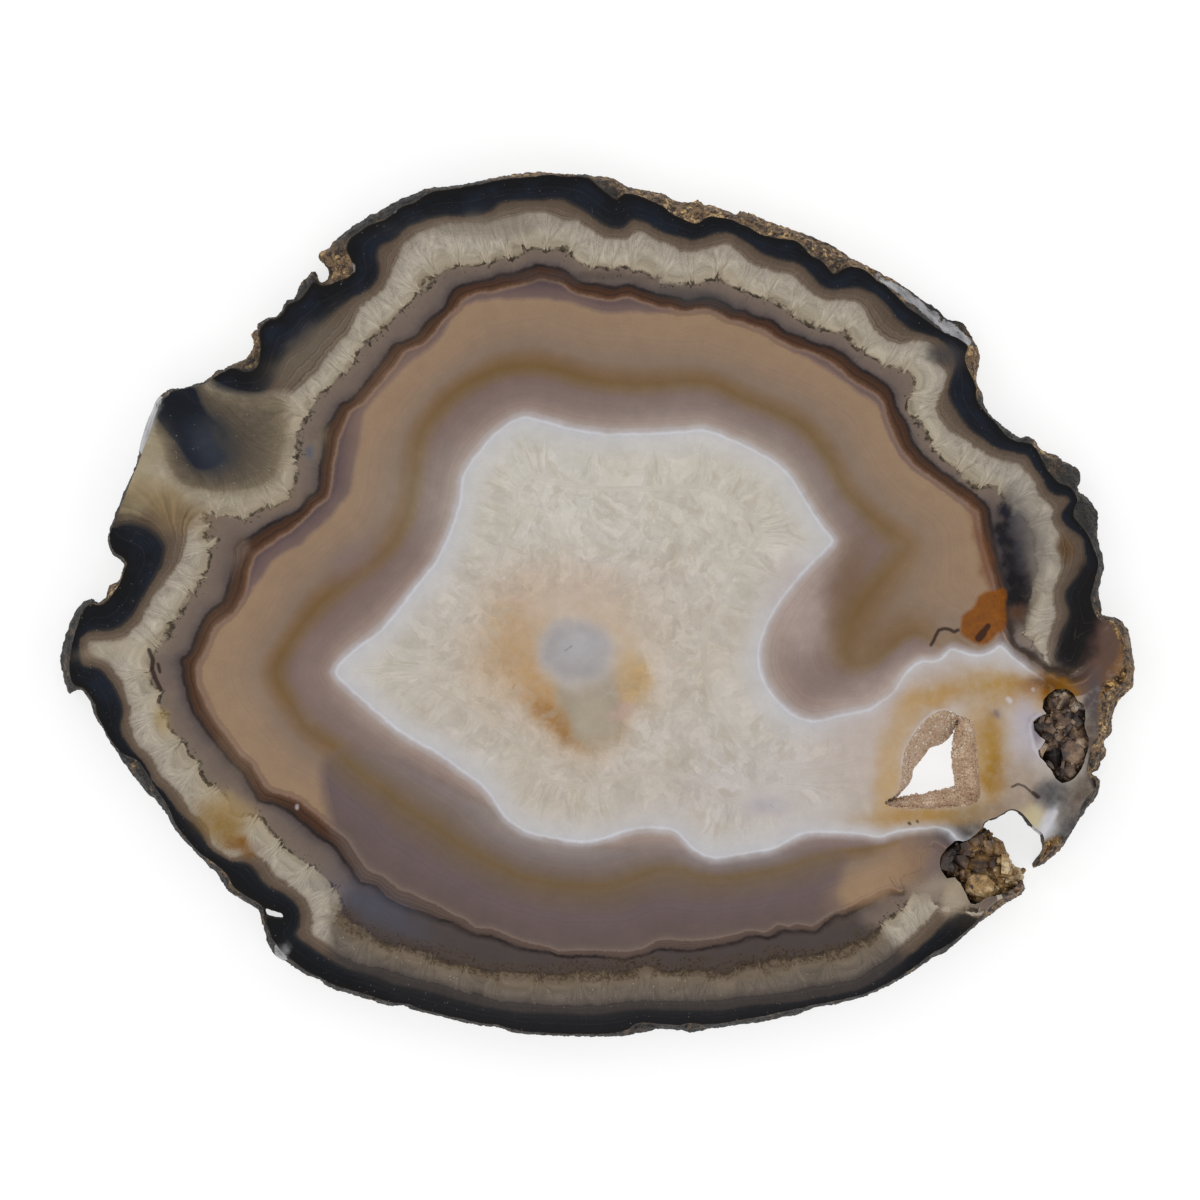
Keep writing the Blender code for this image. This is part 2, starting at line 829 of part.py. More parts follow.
def brown_crystals(parts):
    """The crust of larger brown crystals in the hollow beside the open notch."""
    edge = inset(CRYSTAL_HOLLOW_EDGE, CRUST_INSET)
    outline = edge[1:-1] + list(CRYSTAL_CRUST_MOUTH)
    low_x, high_x = CRYSTAL_HOLLOW_SPAN

    def floor(x):
        return floor_height(x, CRYSTAL_HOLLOW_SPAN, CRYSTAL_HOLLOW_DEPTH)

    def height(x, _):
        return 0.0009 + 0.0008 * (x - low_x) / (high_x - low_x)

    crust = crystal_bed("brown_crystals", outline, floor, height, BROWN_SPACING, BROWN_TALL, 5, parts)
    crust.data.materials.append(material("brown_quartz", (0.30, 0.19, 0.09), 0.35))


def pit_crystals(parts):
    """The dark lumpy crust of the pitted hollow on the right."""
    outline = inset(PIT_EDGE, CRUST_INSET)

    def floor(x):
        return floor_height(x, PIT_SPAN, PIT_DEPTH)

    def height(x, y):
        return 0.0007 + 0.0004 * math.sin(x * 0.21) * math.cos(y * 0.17)

    crust = crystal_bed("pit_crystals", outline, floor, height, PIT_SPACING, PIT_TALL, 9, parts)
    crust.data.materials.append(material("pit_crust", (0.16, 0.11, 0.08), 0.5))


def main():
    for obj in list(bpy.data.objects):
        bpy.data.objects.remove(obj)
    parts = bpy.data.collections.new("agate_slice")
    cutters = bpy.data.collections.new("cutters")
    bpy.context.scene.collection.children.link(parts)
    bpy.context.scene.collection.children.link(cutters)
    agate_slab(parts, cutters)
    cavity_crystals(parts)
    brown_crystals(parts)
    pit_crystals(parts)


main()
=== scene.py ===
"""The looks of the agate slice: its banded faces, natural rind and crystal-lined hollows."""
import math
import random

import bmesh
import bpy
import numpy as np
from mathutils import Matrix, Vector, geometry, kdtree, noise


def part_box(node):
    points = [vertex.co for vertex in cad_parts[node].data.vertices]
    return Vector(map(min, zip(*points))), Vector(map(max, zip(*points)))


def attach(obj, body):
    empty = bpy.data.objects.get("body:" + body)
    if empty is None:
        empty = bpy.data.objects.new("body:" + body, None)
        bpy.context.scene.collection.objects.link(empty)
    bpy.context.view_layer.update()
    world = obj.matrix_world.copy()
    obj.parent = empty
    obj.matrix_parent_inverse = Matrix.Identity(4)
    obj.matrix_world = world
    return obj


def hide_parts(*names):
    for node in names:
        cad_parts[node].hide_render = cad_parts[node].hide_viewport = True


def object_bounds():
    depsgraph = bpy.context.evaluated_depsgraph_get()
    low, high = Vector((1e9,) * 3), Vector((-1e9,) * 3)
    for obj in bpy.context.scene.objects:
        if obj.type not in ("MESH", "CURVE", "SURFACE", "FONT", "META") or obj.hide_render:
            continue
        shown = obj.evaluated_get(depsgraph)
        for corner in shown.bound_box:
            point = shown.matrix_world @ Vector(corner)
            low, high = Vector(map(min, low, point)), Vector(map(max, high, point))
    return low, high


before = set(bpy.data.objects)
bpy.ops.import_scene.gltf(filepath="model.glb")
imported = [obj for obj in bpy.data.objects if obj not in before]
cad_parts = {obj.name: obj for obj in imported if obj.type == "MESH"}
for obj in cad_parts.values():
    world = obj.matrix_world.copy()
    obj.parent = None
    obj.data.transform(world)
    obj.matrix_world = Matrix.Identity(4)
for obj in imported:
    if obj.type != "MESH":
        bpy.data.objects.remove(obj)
cad_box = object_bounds()

# The photograph's pixels and the frame's metres. The upper face is the plane that they share.
METRES_PER_PIXEL = 0.150 / 1079.5
MM_PER_PIXEL = METRES_PER_PIXEL * 1000
PIXEL_CENTRE = np.array((597.25, 604.5))
FRAME_PIXELS = 1200
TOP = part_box("agate_slice")[1].z

# Mesh fineness, in pixels for the faces and in metres for the walls.
UPPER_SPACING = 4.6
LOWER_SPACING = 10.0
STROKE_SPACING, STROKE_MARGIN = 1.4, 2.5
WALL_EDGE = 0.00062

# The bands' edges on the upper face, in pixels, clockwise and closed past the rim where they
# leave the stone. Each lies inside the one before.
BLACK_EDGE = (
    (80, 500), (120, 372), (196, 372), (205, 385), (212, 388), (222, 392), (235, 394), (248, 395), (260, 393),
    (268, 388), (274, 380), (279, 370), (283, 360), (290, 352), (300, 347), (310, 338), (316, 330),
    (324, 322), (332, 314), (340, 307), (352, 298), (360, 294), (370, 288), (377, 280), (379, 268),
    (377, 258), (378, 248), (385, 243), (395, 239), (402, 232), (410, 226), (420, 222), (435, 218),
    (450, 216), (465, 217), (480, 215), (492, 210), (500, 203), (510, 201), (525, 200), (540, 200),
    (555, 199), (565, 200), (575, 206), (585, 211), (595, 219), (603, 225), (612, 228), (622, 228),
    (628, 224), (633, 220), (640, 221), (648, 223), (655, 228), (665, 233), (675, 236), (685, 238.5),
    (693, 240), (700, 239), (708, 236), (716, 233), (724, 233), (733, 234), (740, 238), (748, 243),
    (755, 248), (763, 253), (772, 257), (780, 260), (788, 261), (795, 262), (802, 266), (808, 271),
    (813, 276), (818, 283), (824, 287), (832, 289), (840, 289), (850, 288), (860, 288), (868, 291),
    (875, 294), (880, 298), (885, 303), (890, 308), (893, 313), (897, 318), (903, 323), (910, 329),
    (920, 333), (932, 336), (944, 342), (952, 352), (956, 364), (953, 376), (949, 386), (948, 392),
    (950, 400), (955, 408), (960, 416), (966, 425), (972, 431), (980, 437), (990, 444), (1000, 449),
    (1012, 452), (1022, 454), (1028, 456), (1031, 461), (1034, 467), (1039, 473), (1043, 479),
    (1046, 486), (1050, 492), (1055, 495), (1062, 496), (1068, 496), (1070, 501), (1067, 506),
    (1063, 511), (1061, 517), (1064, 523), (1070, 528), (1077, 533), (1083, 538), (1085, 545),
    (1086, 555), (1087, 563), (1083, 570), (1078, 577), (1072, 582), (1067, 588), (1065, 595),
    (1066, 602), (1069, 610), (1069, 618), (1065, 625), (1061, 632), (1059, 640), (1057, 648),
    (1055, 655), (1056, 662), (1062, 668), (1070, 670), (1076, 668), (1080, 663), (1084, 657),
    (1087, 650), (1090, 640), (1095, 633), (1102, 620), (1110, 606), (1165, 612), (1165, 930),
    (1010, 930), (956, 906), (950, 913), (947, 920), (940, 928), (932, 936), (924, 944), (916, 951),
    (908, 957), (900, 963), (890, 970), (880, 978), (860, 989), (840, 994), (820, 997), (800, 1001),
    (780, 1003), (760, 1004), (740, 1007), (720, 1010), (700, 1010), (670, 1010), (650, 1009),
    (630, 1010), (615, 1012), (600, 1014), (580, 1014), (560, 1013), (540, 1012.5), (520, 1012),
    (500, 1009), (480, 1005), (460, 1000), (440, 994), (420, 989), (400, 985), (390, 982),
    (382, 978), (370, 974), (358, 971), (345, 967), (334, 962), (324, 956), (316, 951), (308, 945),
    (300, 940), (296, 935), (298, 928), (300, 920), (300, 912), (297, 905), (291, 899), (284, 894),
    (276, 890), (268, 886), (262, 881), (258, 874), (254, 868), (248, 863), (240, 862), (232, 861),
    (224, 858), (216, 853), (208, 846), (203, 838), (199, 830), (192, 823), (184, 817), (177, 810),
    (172, 802), (165, 794), (158, 787), (152, 780), (149, 772), (144, 764), (138, 757), (130, 748),
    (124, 738), (120, 730), (121, 722), (123, 713), (122, 705), (118, 695), (113, 685), (107, 676),
    (100, 669), (92, 667), (83, 666), (80, 660), (79, 650), (80, 640), (85, 634), (92, 630),
    (102, 631), (112, 630), (122, 625), (130, 618), (136, 610), (141, 600), (147, 590), (153, 580),
    (159, 570), (163, 560), (165, 548), (160, 538), (152, 530), (142, 526), (130, 524), (120, 525),
    (108, 527),
)
BROWN_EDGE = (
    (186, 545), (188, 532), (192, 522), (200, 514), (212, 508), (226, 505), (242, 503), (256, 499),
    (268, 492), (277, 482), (284, 468), (287, 452), (288, 435), (287, 420), (285, 408), (290, 397),
    (297, 390), (304, 383), (312, 376), (318, 368), (325, 360), (330, 352), (338, 343), (347, 335),
    (352, 325), (356, 315), (362, 305), (373, 298), (382, 290), (388, 280), (393, 268), (398, 257),
    (402, 249), (408, 240), (415, 234), (425, 230), (440, 226), (455, 223), (470, 224), (485, 223),
    (500, 219), (510, 217), (520, 214), (530, 213), (540, 213), (550, 214), (560, 218), (570, 221),
    (580, 221), (587, 226), (595, 232), (603, 237), (612, 239), (622, 239), (630, 237), (635, 233),
    (640, 231), (646, 233), (654, 238), (664, 242), (672, 246), (680, 250), (690, 252), (700, 251),
    (708, 249), (716, 246), (724, 245), (732, 247), (740, 253), (745, 258), (752, 264), (760, 267),
    (770, 270), (780, 271.5), (788, 273), (794, 277), (800, 282), (806, 288), (812, 294), (818, 298),
    (824, 300), (832, 300.5), (840, 301), (850, 301), (858, 303), (864, 310), (868, 318), (872, 326),
    (878, 333), (885, 338), (893, 342), (900, 343), (910, 342), (918, 341), (926, 341), (932, 345),
    (936, 352), (936, 360), (940, 366), (945, 371), (947, 378), (944, 385), (941, 392), (938, 400),
    (936, 405), (937, 412), (940, 420), (942, 425), (950, 432), (960, 436), (966, 440), (975, 447),
    (985, 453), (995, 458), (1005, 461), (1014, 462), (1020, 464), (1024, 470), (1029, 476),
    (1034, 481), (1037, 488), (1039, 495), (1044, 500), (1050, 505), (1053, 509), (1051, 515),
    (1052, 521), (1056, 528), (1060, 536), (1061, 550), (1062, 565), (1061, 575), (1057, 583),
    (1054, 590), (1053, 598), (1055, 607), (1056, 617), (1053, 625), (1050, 635), (1048, 645),
    (1047, 655), (1048, 660), (1055, 668), (1062, 673), (1070, 675), (1078, 671), (1085, 664),
    (1091, 655), (1100, 640), (1112, 622), (1160, 640), (1160, 900), (1040, 920), (949, 912),
    (945, 908), (940, 906), (935, 910), (930, 916), (926, 922), (920, 928), (912, 935), (905, 942),
    (896, 950), (888, 957), (880, 962), (875, 964), (867, 968), (860, 973), (850, 977), (840, 979),
    (832, 980), (824, 984), (812, 983), (805, 986), (798, 988), (788, 990), (775, 992), (760, 993.5),
    (745, 995), (730, 996), (715, 998), (700, 999), (680, 1000), (665, 999), (650, 999), (635, 999),
    (622, 1000), (612, 1002), (600, 1003), (585, 1003.5), (570, 1004), (555, 1004.5), (545, 1004.5),
    (535, 1002), (525, 1000.5), (512, 1000.5), (500, 1000), (490, 997), (480, 994), (470, 992),
    (460, 990), (450, 986), (440, 982), (430, 980), (420, 978), (410, 975), (400, 972), (390, 969),
    (380, 966.5), (372, 965), (360, 963), (350, 958), (340, 953), (332, 947), (324, 942), (316, 937),
    (310, 930), (312, 924), (312, 916), (310, 908), (306, 900), (300, 893), (292, 887), (284, 881),
    (276, 878), (272, 874), (270, 868), (266, 862), (260, 857), (252, 853), (244, 853), (238, 857),
    (228, 857), (220, 851), (212, 845), (210, 834), (207, 825), (203, 819), (197, 816), (191, 812),
    (187, 804), (182, 796), (175, 789), (167, 782), (160, 775), (156, 766), (152, 758), (146, 752),
    (139, 746), (134, 737), (131, 728), (130, 720), (130, 712), (129, 703), (126, 692), (121, 681),
    (116, 672), (111, 664), (104, 659), (96, 656), (90, 652), (88, 645), (92, 641), (104, 641),
    (116, 640), (126, 636), (133, 630), (140, 622), (146, 612), (150, 602), (155, 593), (162, 586),
    (168, 578), (174, 570), (180, 560),
)
QUARTZ_EDGE = (
    (204, 520), (214, 516), (228, 520), (245, 520), (256, 514), (270, 508), (284, 500), (290, 498),
    (294, 485), (298, 462), (300, 440), (302, 430), (298, 424), (305, 421), (312, 421), (310, 416),
    (313, 406), (317, 402), (320, 395), (330, 391), (337, 380), (349, 374), (350, 369), (356, 366),
    (359, 353), (366, 346), (375, 338), (385, 330), (395, 321), (403, 313), (412, 303), (420, 295),
    (428, 283), (436, 277), (445, 270), (455, 268), (475, 268), (490, 265), (500, 262), (510, 259),
    (518, 256), (524, 252), (535, 248), (548, 253), (556, 252), (568, 255), (578, 263), (590, 270),
    (606, 273), (614, 274), (620, 271), (628, 272), (642, 272), (655, 280), (675, 285), (694, 285),
    (707, 280), (720, 280), (726, 284), (740, 292), (757, 300), (766, 301), (775, 304), (790, 313),
    (806, 322), (820, 330), (835, 335), (848, 334), (850, 340), (864, 355), (876, 361), (880, 367),
    (892, 372), (905, 374), (911, 380), (909, 395), (906, 410), (914, 418), (922, 432), (930, 448),
    (942, 462), (958, 473), (972, 484), (980, 490), (990, 493), (998, 494), (1003, 500), (1009, 516),
    (1018, 513), (1026, 519), (1031, 540), (1031, 553), (1036, 568), (1033, 581), (1029, 598),
    (1024, 608), (1021, 622), (1022, 638), (1028, 642), (1034, 645), (1035, 650), (1042, 656),
    (1050, 666), (1062, 675.5), (1072, 678), (1080, 674), (1087, 666), (1094, 656), (1103, 642),
    (1115, 627), (1156, 645), (1156, 890), (1040, 912), (942, 905), (935, 895), (928, 889),
    (920, 887), (912, 891), (908, 898), (900, 907), (890, 914), (880, 920), (872, 930), (862, 938),
    (845, 950), (830, 952), (810, 955), (790, 957), (772, 957), (765, 961), (745, 963), (735, 966),
    (726, 972), (710, 968), (700, 966), (688, 968), (668, 971), (655, 966), (645, 965), (635, 968),
    (625, 970), (612, 971), (590, 972), (575, 970), (565, 974), (545, 973), (515, 973), (500, 971),
    (480, 965), (470, 962), (450, 960), (435, 954), (415, 948), (405, 945), (388, 938), (370, 930),
    (352, 924), (345, 915), (343, 900), (335, 887), (324, 877), (312, 864), (298, 856), (280, 840),
    (268, 826), (256, 810), (240, 812), (233, 808), (226, 796), (213, 783), (206, 777), (200, 762),
    (188, 756), (182, 740), (168, 728), (168, 713), (161, 703), (163, 692), (152, 684), (152, 676),
    (148, 661), (157, 647), (172, 636), (177, 620), (186, 607), (194, 594), (207, 587), (203, 580),
    (209, 567), (212, 550), (222, 538), (207, 535), (210, 531), (216, 528),
)
BLACK_LINE = (
    (252, 537), (260, 531), (270, 525), (280, 520), (290, 515), (300, 510), (305, 503), (308, 498),
    (316, 494), (320, 485), (321, 470), (323, 458), (325, 445), (324, 435), (326, 427), (332, 420),
    (336, 412), (342, 404), (348, 402), (355, 396), (362, 389), (366, 383), (372, 376), (387, 357),
    (394, 346), (398, 344), (410, 340), (420, 333), (428, 322), (436, 316), (443, 310), (448, 303),
    (452, 292), (458, 288), (466, 285), (475, 282), (485, 281), (493, 279.5), (500, 275), (510, 275),
    (518, 272), (527, 270), (537, 265), (550, 268), (558, 269), (565, 272), (570, 276), (575, 280),
    (582, 283), (590, 285), (598, 284), (605, 286), (613, 289), (620, 287), (625, 285), (632, 286),
    (640, 290), (648, 292), (655, 295), (663, 296), (672, 297), (680, 299), (687, 301), (694, 300.5),
    (700, 299), (708, 298.5), (714, 299.5), (720, 302), (727, 305), (732, 309), (738, 311.5),
    (745, 311), (750, 315), (756, 318), (770, 320.5), (775, 324), (780, 329), (788, 333), (796, 336),
    (803, 338), (808, 342), (815, 345), (823, 346), (832, 348), (838, 352), (845, 355), (850, 361),
    (856, 366), (862, 371), (870, 375), (878, 379), (885, 384), (890, 389), (892, 395), (894, 403),
    (897, 409), (900, 415), (904, 420), (907, 425), (908, 430), (912, 442), (918, 450), (925, 458),
    (932, 465), (940, 471), (950, 477), (960, 484), (968, 490), (976, 497), (984, 503), (988, 510),
    (990, 518), (990, 525), (993, 540), (996, 555), (1000, 568), (1004, 580), (1007, 592),
    (1007, 602), (1007, 615), (1007, 625), (1009, 634), (1014, 642), (1021, 648), (1032, 656),
    (1044, 664), (1056, 673), (1068, 680), (1080, 678), (1090, 669), (1098, 658), (1107, 645),
    (1118, 632), (1152, 650), (1152, 880), (1040, 904), (960, 868), (932, 846), (924, 849),
    (919, 857), (920, 868), (914, 872), (903, 875), (899, 881), (905, 893), (892, 894), (880, 897),
    (870, 903), (858, 909), (850, 912), (845, 916), (838, 915), (830, 919), (824, 924), (818, 930),
    (812, 932), (804, 930), (792, 931), (786, 930), (780, 931), (774, 935), (768, 938), (762, 936),
    (748, 937), (740, 941), (730, 943), (720, 945), (710, 947), (700, 949), (685, 950), (665, 949),
    (656, 949), (650, 953), (642, 955), (635, 956), (628, 959), (620, 959), (610, 957), (600, 956),
    (580, 956), (570, 957), (558, 955), (550, 952), (540, 951), (530, 950), (520, 947), (512, 944),
    (503, 941), (496, 938), (488, 935), (474, 934), (466, 929), (458, 925), (450, 921), (440, 919),
    (430, 915), (420, 911), (410, 909), (400, 905), (392, 901), (385, 896), (380, 890), (376, 887),
    (370, 884), (362, 883), (358, 880), (354, 874), (350, 867), (344, 860), (340, 855), (337, 848),
    (331, 843), (325, 840), (316, 834), (308, 827), (300, 820), (293, 813), (285, 808), (275, 804),
    (266, 802), (259, 801), (256, 794), (250, 785), (246, 776), (240, 768), (232, 762), (228, 757),
    (220, 747), (212, 737), (205, 728), (198, 718), (194, 712), (190, 702), (188, 697), (187, 688),
    (184, 678), (184, 668), (181, 661), (184, 658), (189, 654), (193, 649), (194, 641), (198, 633),
    (202, 625), (208, 614), (215, 608), (223, 602), (228, 590), (231, 578), (233, 567), (236, 560),
    (235, 550), (237, 545), (242, 540),
)
RED_EDGE = (
    (250, 570), (251, 565), (254, 556), (260, 551), (270, 545), (280, 537), (290, 532), (295, 527),
    (303, 520), (310, 513), (315, 507), (322, 502), (327, 497), (330, 487), (332, 475), (333, 463),
    (336, 452), (338, 440), (342, 430), (346, 420), (350, 412), (356, 407), (362, 404), (370, 395),
    (380, 383), (392, 369), (400, 358), (406, 350), (414, 348), (424, 343), (432, 335), (440, 325),
    (448, 315), (456, 308), (461, 301), (470, 296), (480, 292), (490, 292), (500, 290), (510, 287),
    (520, 285), (530, 282), (540, 279), (550, 281), (560, 283), (570, 290), (578, 293), (585, 295.5),
    (595, 298), (605, 300), (615, 300), (622, 298), (630, 297.5), (640, 301), (650, 304), (660, 307),
    (670, 308), (676, 310), (684, 311), (692, 310.5), (700, 309), (708, 309), (715, 311), (722, 315),
    (729, 319.5), (738, 321), (744, 322), (750, 326), (758, 327.5), (765, 330), (772, 335),
    (780, 341), (790, 346), (800, 349), (810, 352), (820, 356), (828, 360), (835, 365), (843, 372),
    (850, 379), (857, 383), (864, 387), (872, 392), (878, 397), (884, 403), (886, 412), (888, 420),
    (892, 430), (898, 442), (903, 452), (910, 460), (918, 468), (928, 475), (938, 482), (948, 489),
    (958, 496), (966, 502), (972, 508), (978, 513), (979, 522), (981, 532), (983, 542), (985, 552),
    (988, 562), (991, 572), (994, 582), (997, 592), (1000, 604), (1002, 616), (1003, 628),
    (1006, 638), (1012, 646), (1020, 652), (1031, 660), (1042, 668), (1054, 677), (1067, 684),
    (1082, 682), (1093, 672), (1101, 661), (1110, 648), (1120, 636), (1148, 655), (1148, 870),
    (1040, 896), (964, 862), (937, 842), (930, 847), (925, 851), (922, 857), (923, 863), (924, 870),
    (920, 874), (912, 875), (906, 877), (902, 880), (905, 884), (910, 890), (901, 891), (896, 889),
    (890, 888), (884, 889), (878, 891), (872, 896), (864, 899), (856, 904), (848, 907), (842, 911),
    (834, 913), (826, 917), (820, 922), (814, 926), (806, 925), (798, 924), (788, 927), (783, 925),
    (778, 925), (772, 929), (766, 932), (750, 931), (742, 933), (732, 935), (722, 937), (712, 939),
    (700, 940), (685, 940.5), (675, 940), (665, 939), (656, 941), (650, 945), (645, 948), (636, 950),
    (628, 952), (610, 951.5), (600, 951), (580, 950), (570, 951), (560, 951), (550, 948),
    (540, 945.5), (525, 942), (516, 939), (508, 936), (500, 932), (492, 929), (484, 927), (476, 928),
    (470, 923), (464, 919), (456, 915), (448, 911), (438, 905), (428, 901), (418, 896), (410, 892),
    (402, 891), (396, 886), (388, 880), (380, 875), (372, 872), (366, 868), (361, 860), (357, 855),
    (352, 847), (348, 840), (335, 829), (320, 818), (313, 812), (306, 806), (298, 800), (288, 796),
    (278, 793), (268, 790), (262, 781), (256, 771), (250, 762), (242, 756), (234, 746), (226, 735),
    (217, 724), (210, 713), (205, 702), (200, 690), (197, 680), (196, 670), (197, 663), (202, 656),
    (206, 648), (210, 638), (215, 628), (222, 621), (230, 615), (236, 610), (240, 603), (246, 590),
)
OLIVE_LINE = (
    (500, 369), (520, 366), (540, 366), (560, 370), (580, 377), (600, 381), (620, 383), (640, 384),
    (660, 383), (680, 381), (700, 381), (720, 386), (740, 397), (760, 405), (780, 413), (795, 421),
    (808, 432), (820, 446), (830, 460), (838, 475), (846, 490), (858, 503), (870, 515), (882, 525),
    (895, 534), (908, 543), (904, 554), (893, 566), (882, 578), (871, 591), (861, 605), (853, 620),
    (848, 635), (845, 650), (849, 663), (862, 666), (876, 659), (889, 649), (900, 639), (912, 633),
    (925, 634), (940, 648), (956, 640), (975, 650), (990, 647), (1003, 640), (1012, 650),
    (1030, 663), (1052, 681), (1067, 690), (1084, 688), (1097, 676), (1105, 665), (1114, 652),
    (1124, 642), (1144, 660), (1144, 860), (1040, 885), (966, 855), (940, 836), (920, 838),
    (900, 842), (880, 846), (860, 850), (840, 851), (820, 855), (800, 862), (780, 868), (760, 872),
    (740, 875), (720, 877), (700, 875), (685, 870), (670, 868), (655, 870), (640, 875), (620, 882),
    (600, 886), (580, 886), (560, 884), (540, 881), (520, 876), (505, 868), (490, 861), (470, 850),
    (455, 840), (437, 826), (418, 815), (400, 803), (385, 790), (368, 778), (352, 765), (340, 752),
    (325, 742), (312, 732), (302, 722), (295, 710), (286, 697), (279, 685), (275, 672), (278, 660),
    (286, 648), (295, 635), (305, 620), (318, 605), (330, 593), (345, 580), (360, 570), (378, 558),
    (392, 545), (402, 527), (409, 510), (413, 490), (416, 465), (418, 445), (422, 430), (430, 418),
    (445, 400), (460, 388), (480, 377),
)
CORE_EDGE = (
    (335, 673), (345, 658), (361, 645), (381, 630), (390, 620), (398, 610), (406, 600), (412, 592),
    (420, 582), (428, 572), (436, 562), (442, 550), (448, 538), (452, 527), (456, 515), (460, 502),
    (461, 490), (463, 478), (468, 466), (478, 453), (488, 441), (498, 431), (509, 423), (519, 418),
    (529, 417), (547, 422), (572, 429), (598, 433), (623, 434), (662, 433), (685, 431.5), (705, 430),
    (728, 438), (750, 448), (775, 462), (784, 470), (793, 480), (812, 511), (822, 526), (833, 540),
    (826, 550), (817, 559), (803, 573), (789, 590), (777, 606), (768, 623), (762, 638), (759, 653),
    (759.5, 666), (763, 679), (770, 691), (779, 702), (787, 710), (796, 716), (812, 721), (826, 719),
    (842, 715), (856, 712), (870, 709), (878, 703), (886, 698), (892, 693), (896, 688), (900, 681),
    (905, 674), (910, 669), (916, 664), (922, 661), (930, 661), (938, 660), (944, 656), (948, 651),
    (952, 648), (960, 651), (970, 654), (980, 655), (988, 653), (995, 649), (999, 646), (1003, 647),
    (1008, 652), (1014, 658), (1022, 664), (1030, 670), (1040, 677), (1052, 686), (1066, 696),
    (1086, 694), (1100, 680), (1108, 670), (1118, 657), (1128, 648), (1140, 665), (1140, 850),
    (1040, 873), (968, 848), (950, 832), (938, 828), (929, 828.5), (920, 829), (910, 829.5),
    (900, 831), (890, 834), (880, 837), (870, 836), (860, 834), (840, 833), (820, 832), (799, 835),
    (778, 847), (762, 851), (744, 854), (727, 857), (711, 858), (700, 853), (691, 847), (682, 837),
    (673, 830), (658, 828), (642, 828), (627, 831), (612, 836), (596, 840.5), (579, 842),
    (556, 839), (533, 834), (519, 828), (507, 819), (498, 808), (492, 798), (484, 788), (473, 778),
    (462, 771), (450, 762), (432, 750), (420, 744), (405, 735), (393, 726), (381, 716), (369, 706),
    (357, 695), (345, 684),
)
# Inside this edge the inner band is peach, and outside it mauve.
PEACH_EDGE = (
    (252, 590), (258, 583), (265, 573), (272, 562), (285, 552), (300, 545), (308, 537), (320, 527),
    (330, 518), (338, 508), (347, 497), (352, 485), (354, 470), (357, 455), (360, 440), (362, 425),
    (365, 412), (372, 402), (386, 387), (402, 370), (416, 358), (430, 348), (444, 333), (452, 317),
    (460, 307), (475, 302), (490, 300), (500, 299), (540, 299), (555, 300), (570, 302), (580, 306),
    (590, 309), (600, 312), (615, 313), (630, 312), (650, 313), (660, 312), (675, 312), (700, 311),
    (716, 313), (740, 324), (765, 332), (790, 350), (810, 359), (820, 366), (830, 372), (840, 379),
    (850, 386), (858, 392), (868, 398), (876, 404), (881, 411), (883, 420), (886, 428), (893, 443),
    (899, 455), (907, 464), (916, 472), (930, 481), (944, 490), (958, 500), (974, 514), (976, 530),
    (981, 552), (988, 576), (996, 604), (998, 640), (960, 700), (900, 842), (905, 870), (845, 908),
    (838, 896), (842, 870), (840, 850), (700, 850), (560, 840), (480, 800), (400, 760), (345, 748),
    (324, 762), (323, 790), (331, 824), (318, 816), (306, 805), (292, 797), (270, 789), (264, 779),
    (250, 760), (236, 746), (218, 723), (207, 703), (202, 690), (199, 680), (198, 668), (206, 652),
    (214, 634), (226, 621), (240, 607),
)
# The lower right half of the stone, whose bands are darker and greyer.
LOWER_ZONE = (
    (322, 765), (324, 795), (334, 836), (346, 866), (352, 890), (330, 960), (560, 1070), (860, 1030),
    (905, 955), (868, 925), (848, 910), (841, 895), (842, 870), (840, 850), (700, 850), (560, 840),
    (480, 800), (400, 760), (345, 748),
)
NAVY_EYE = (
    (158, 404), (172, 392), (186, 388), (195, 390), (199, 403), (205, 414), (213, 422), (220, 430),
    (223, 442), (221, 455), (215, 464), (206, 468), (196, 466), (189, 459), (183, 449), (176, 441),
    (170, 433), (164, 426), (158, 418),
)
UPPER, WALL, LOWER = 0, 1, 2

# Thin dark strokes drawn over the bands, each with its half width in pixels.
HOOK = ((931, 645), (934, 640), (936, 635), (939, 630), (945, 628.5), (950, 629.5), (954, 632), (958, 630))
CRACK = ((1012, 787), (1018, 784), (1024, 786), (1029, 790), (1034, 795), (1039, 798))
DARK_STROKES = (
    (HOOK, 1.7), (CRACK, 1.1), (((1033, 793), (1038, 797)), 2.1), (((889, 877), (893, 883), (897, 889)), 0.1),
    (((893, 876), (896, 882), (900, 888)), 0.0),
    (((149, 650), (153, 660), (152, 669), (156, 680), (161, 690)), 2.2), (((158, 664), (160, 672)), 1.6), (((979, 638), (983, 633)), 4.0),
    (((983, 633), (988, 626)), 2.8), 
    (((909, 823), (910, 824)), 1.4), (((917, 821), (918, 822)), 1.1), (((949, 721), (950, 722)), 1.2),
    (((565, 651), (569, 648), (572, 646)), 0.2), (((512, 690), (515, 684)), 0.1), (((461, 684), (463, 679)), -0.1),
    (((582, 562), (590, 559)), -0.2), (((770, 805), (773, 807)), 0.0),
)
# Thin pale strokes of painted highlight, reflected light along the cavity's rim, the pit's rim and chip edges, each
# with its half width in pixels.
PAINTED_HIGHLIGHT_STROKES = (
    (((903, 764), (906, 752), (914, 736), (924, 722), (934, 713), (946, 711), (955, 717)), 1.1),
    (((1056, 812), (1052, 820), (1047, 827), (1042, 835)), 1.6),
    (((1040, 715), (1033, 719), (1030, 725), (1031, 734), (1033, 741), (1034, 748), (1040, 756), (1048, 763)), 0.6),
    (((1008, 699), (1010, 701)), 1.6), (((1033, 689), (1033, 690)), 0.4),
    (((394, 208), (394, 210)), 1.5), (((352, 266), (352, 270)), 1.6), (((297, 806), (297, 808)), 0.6),
)
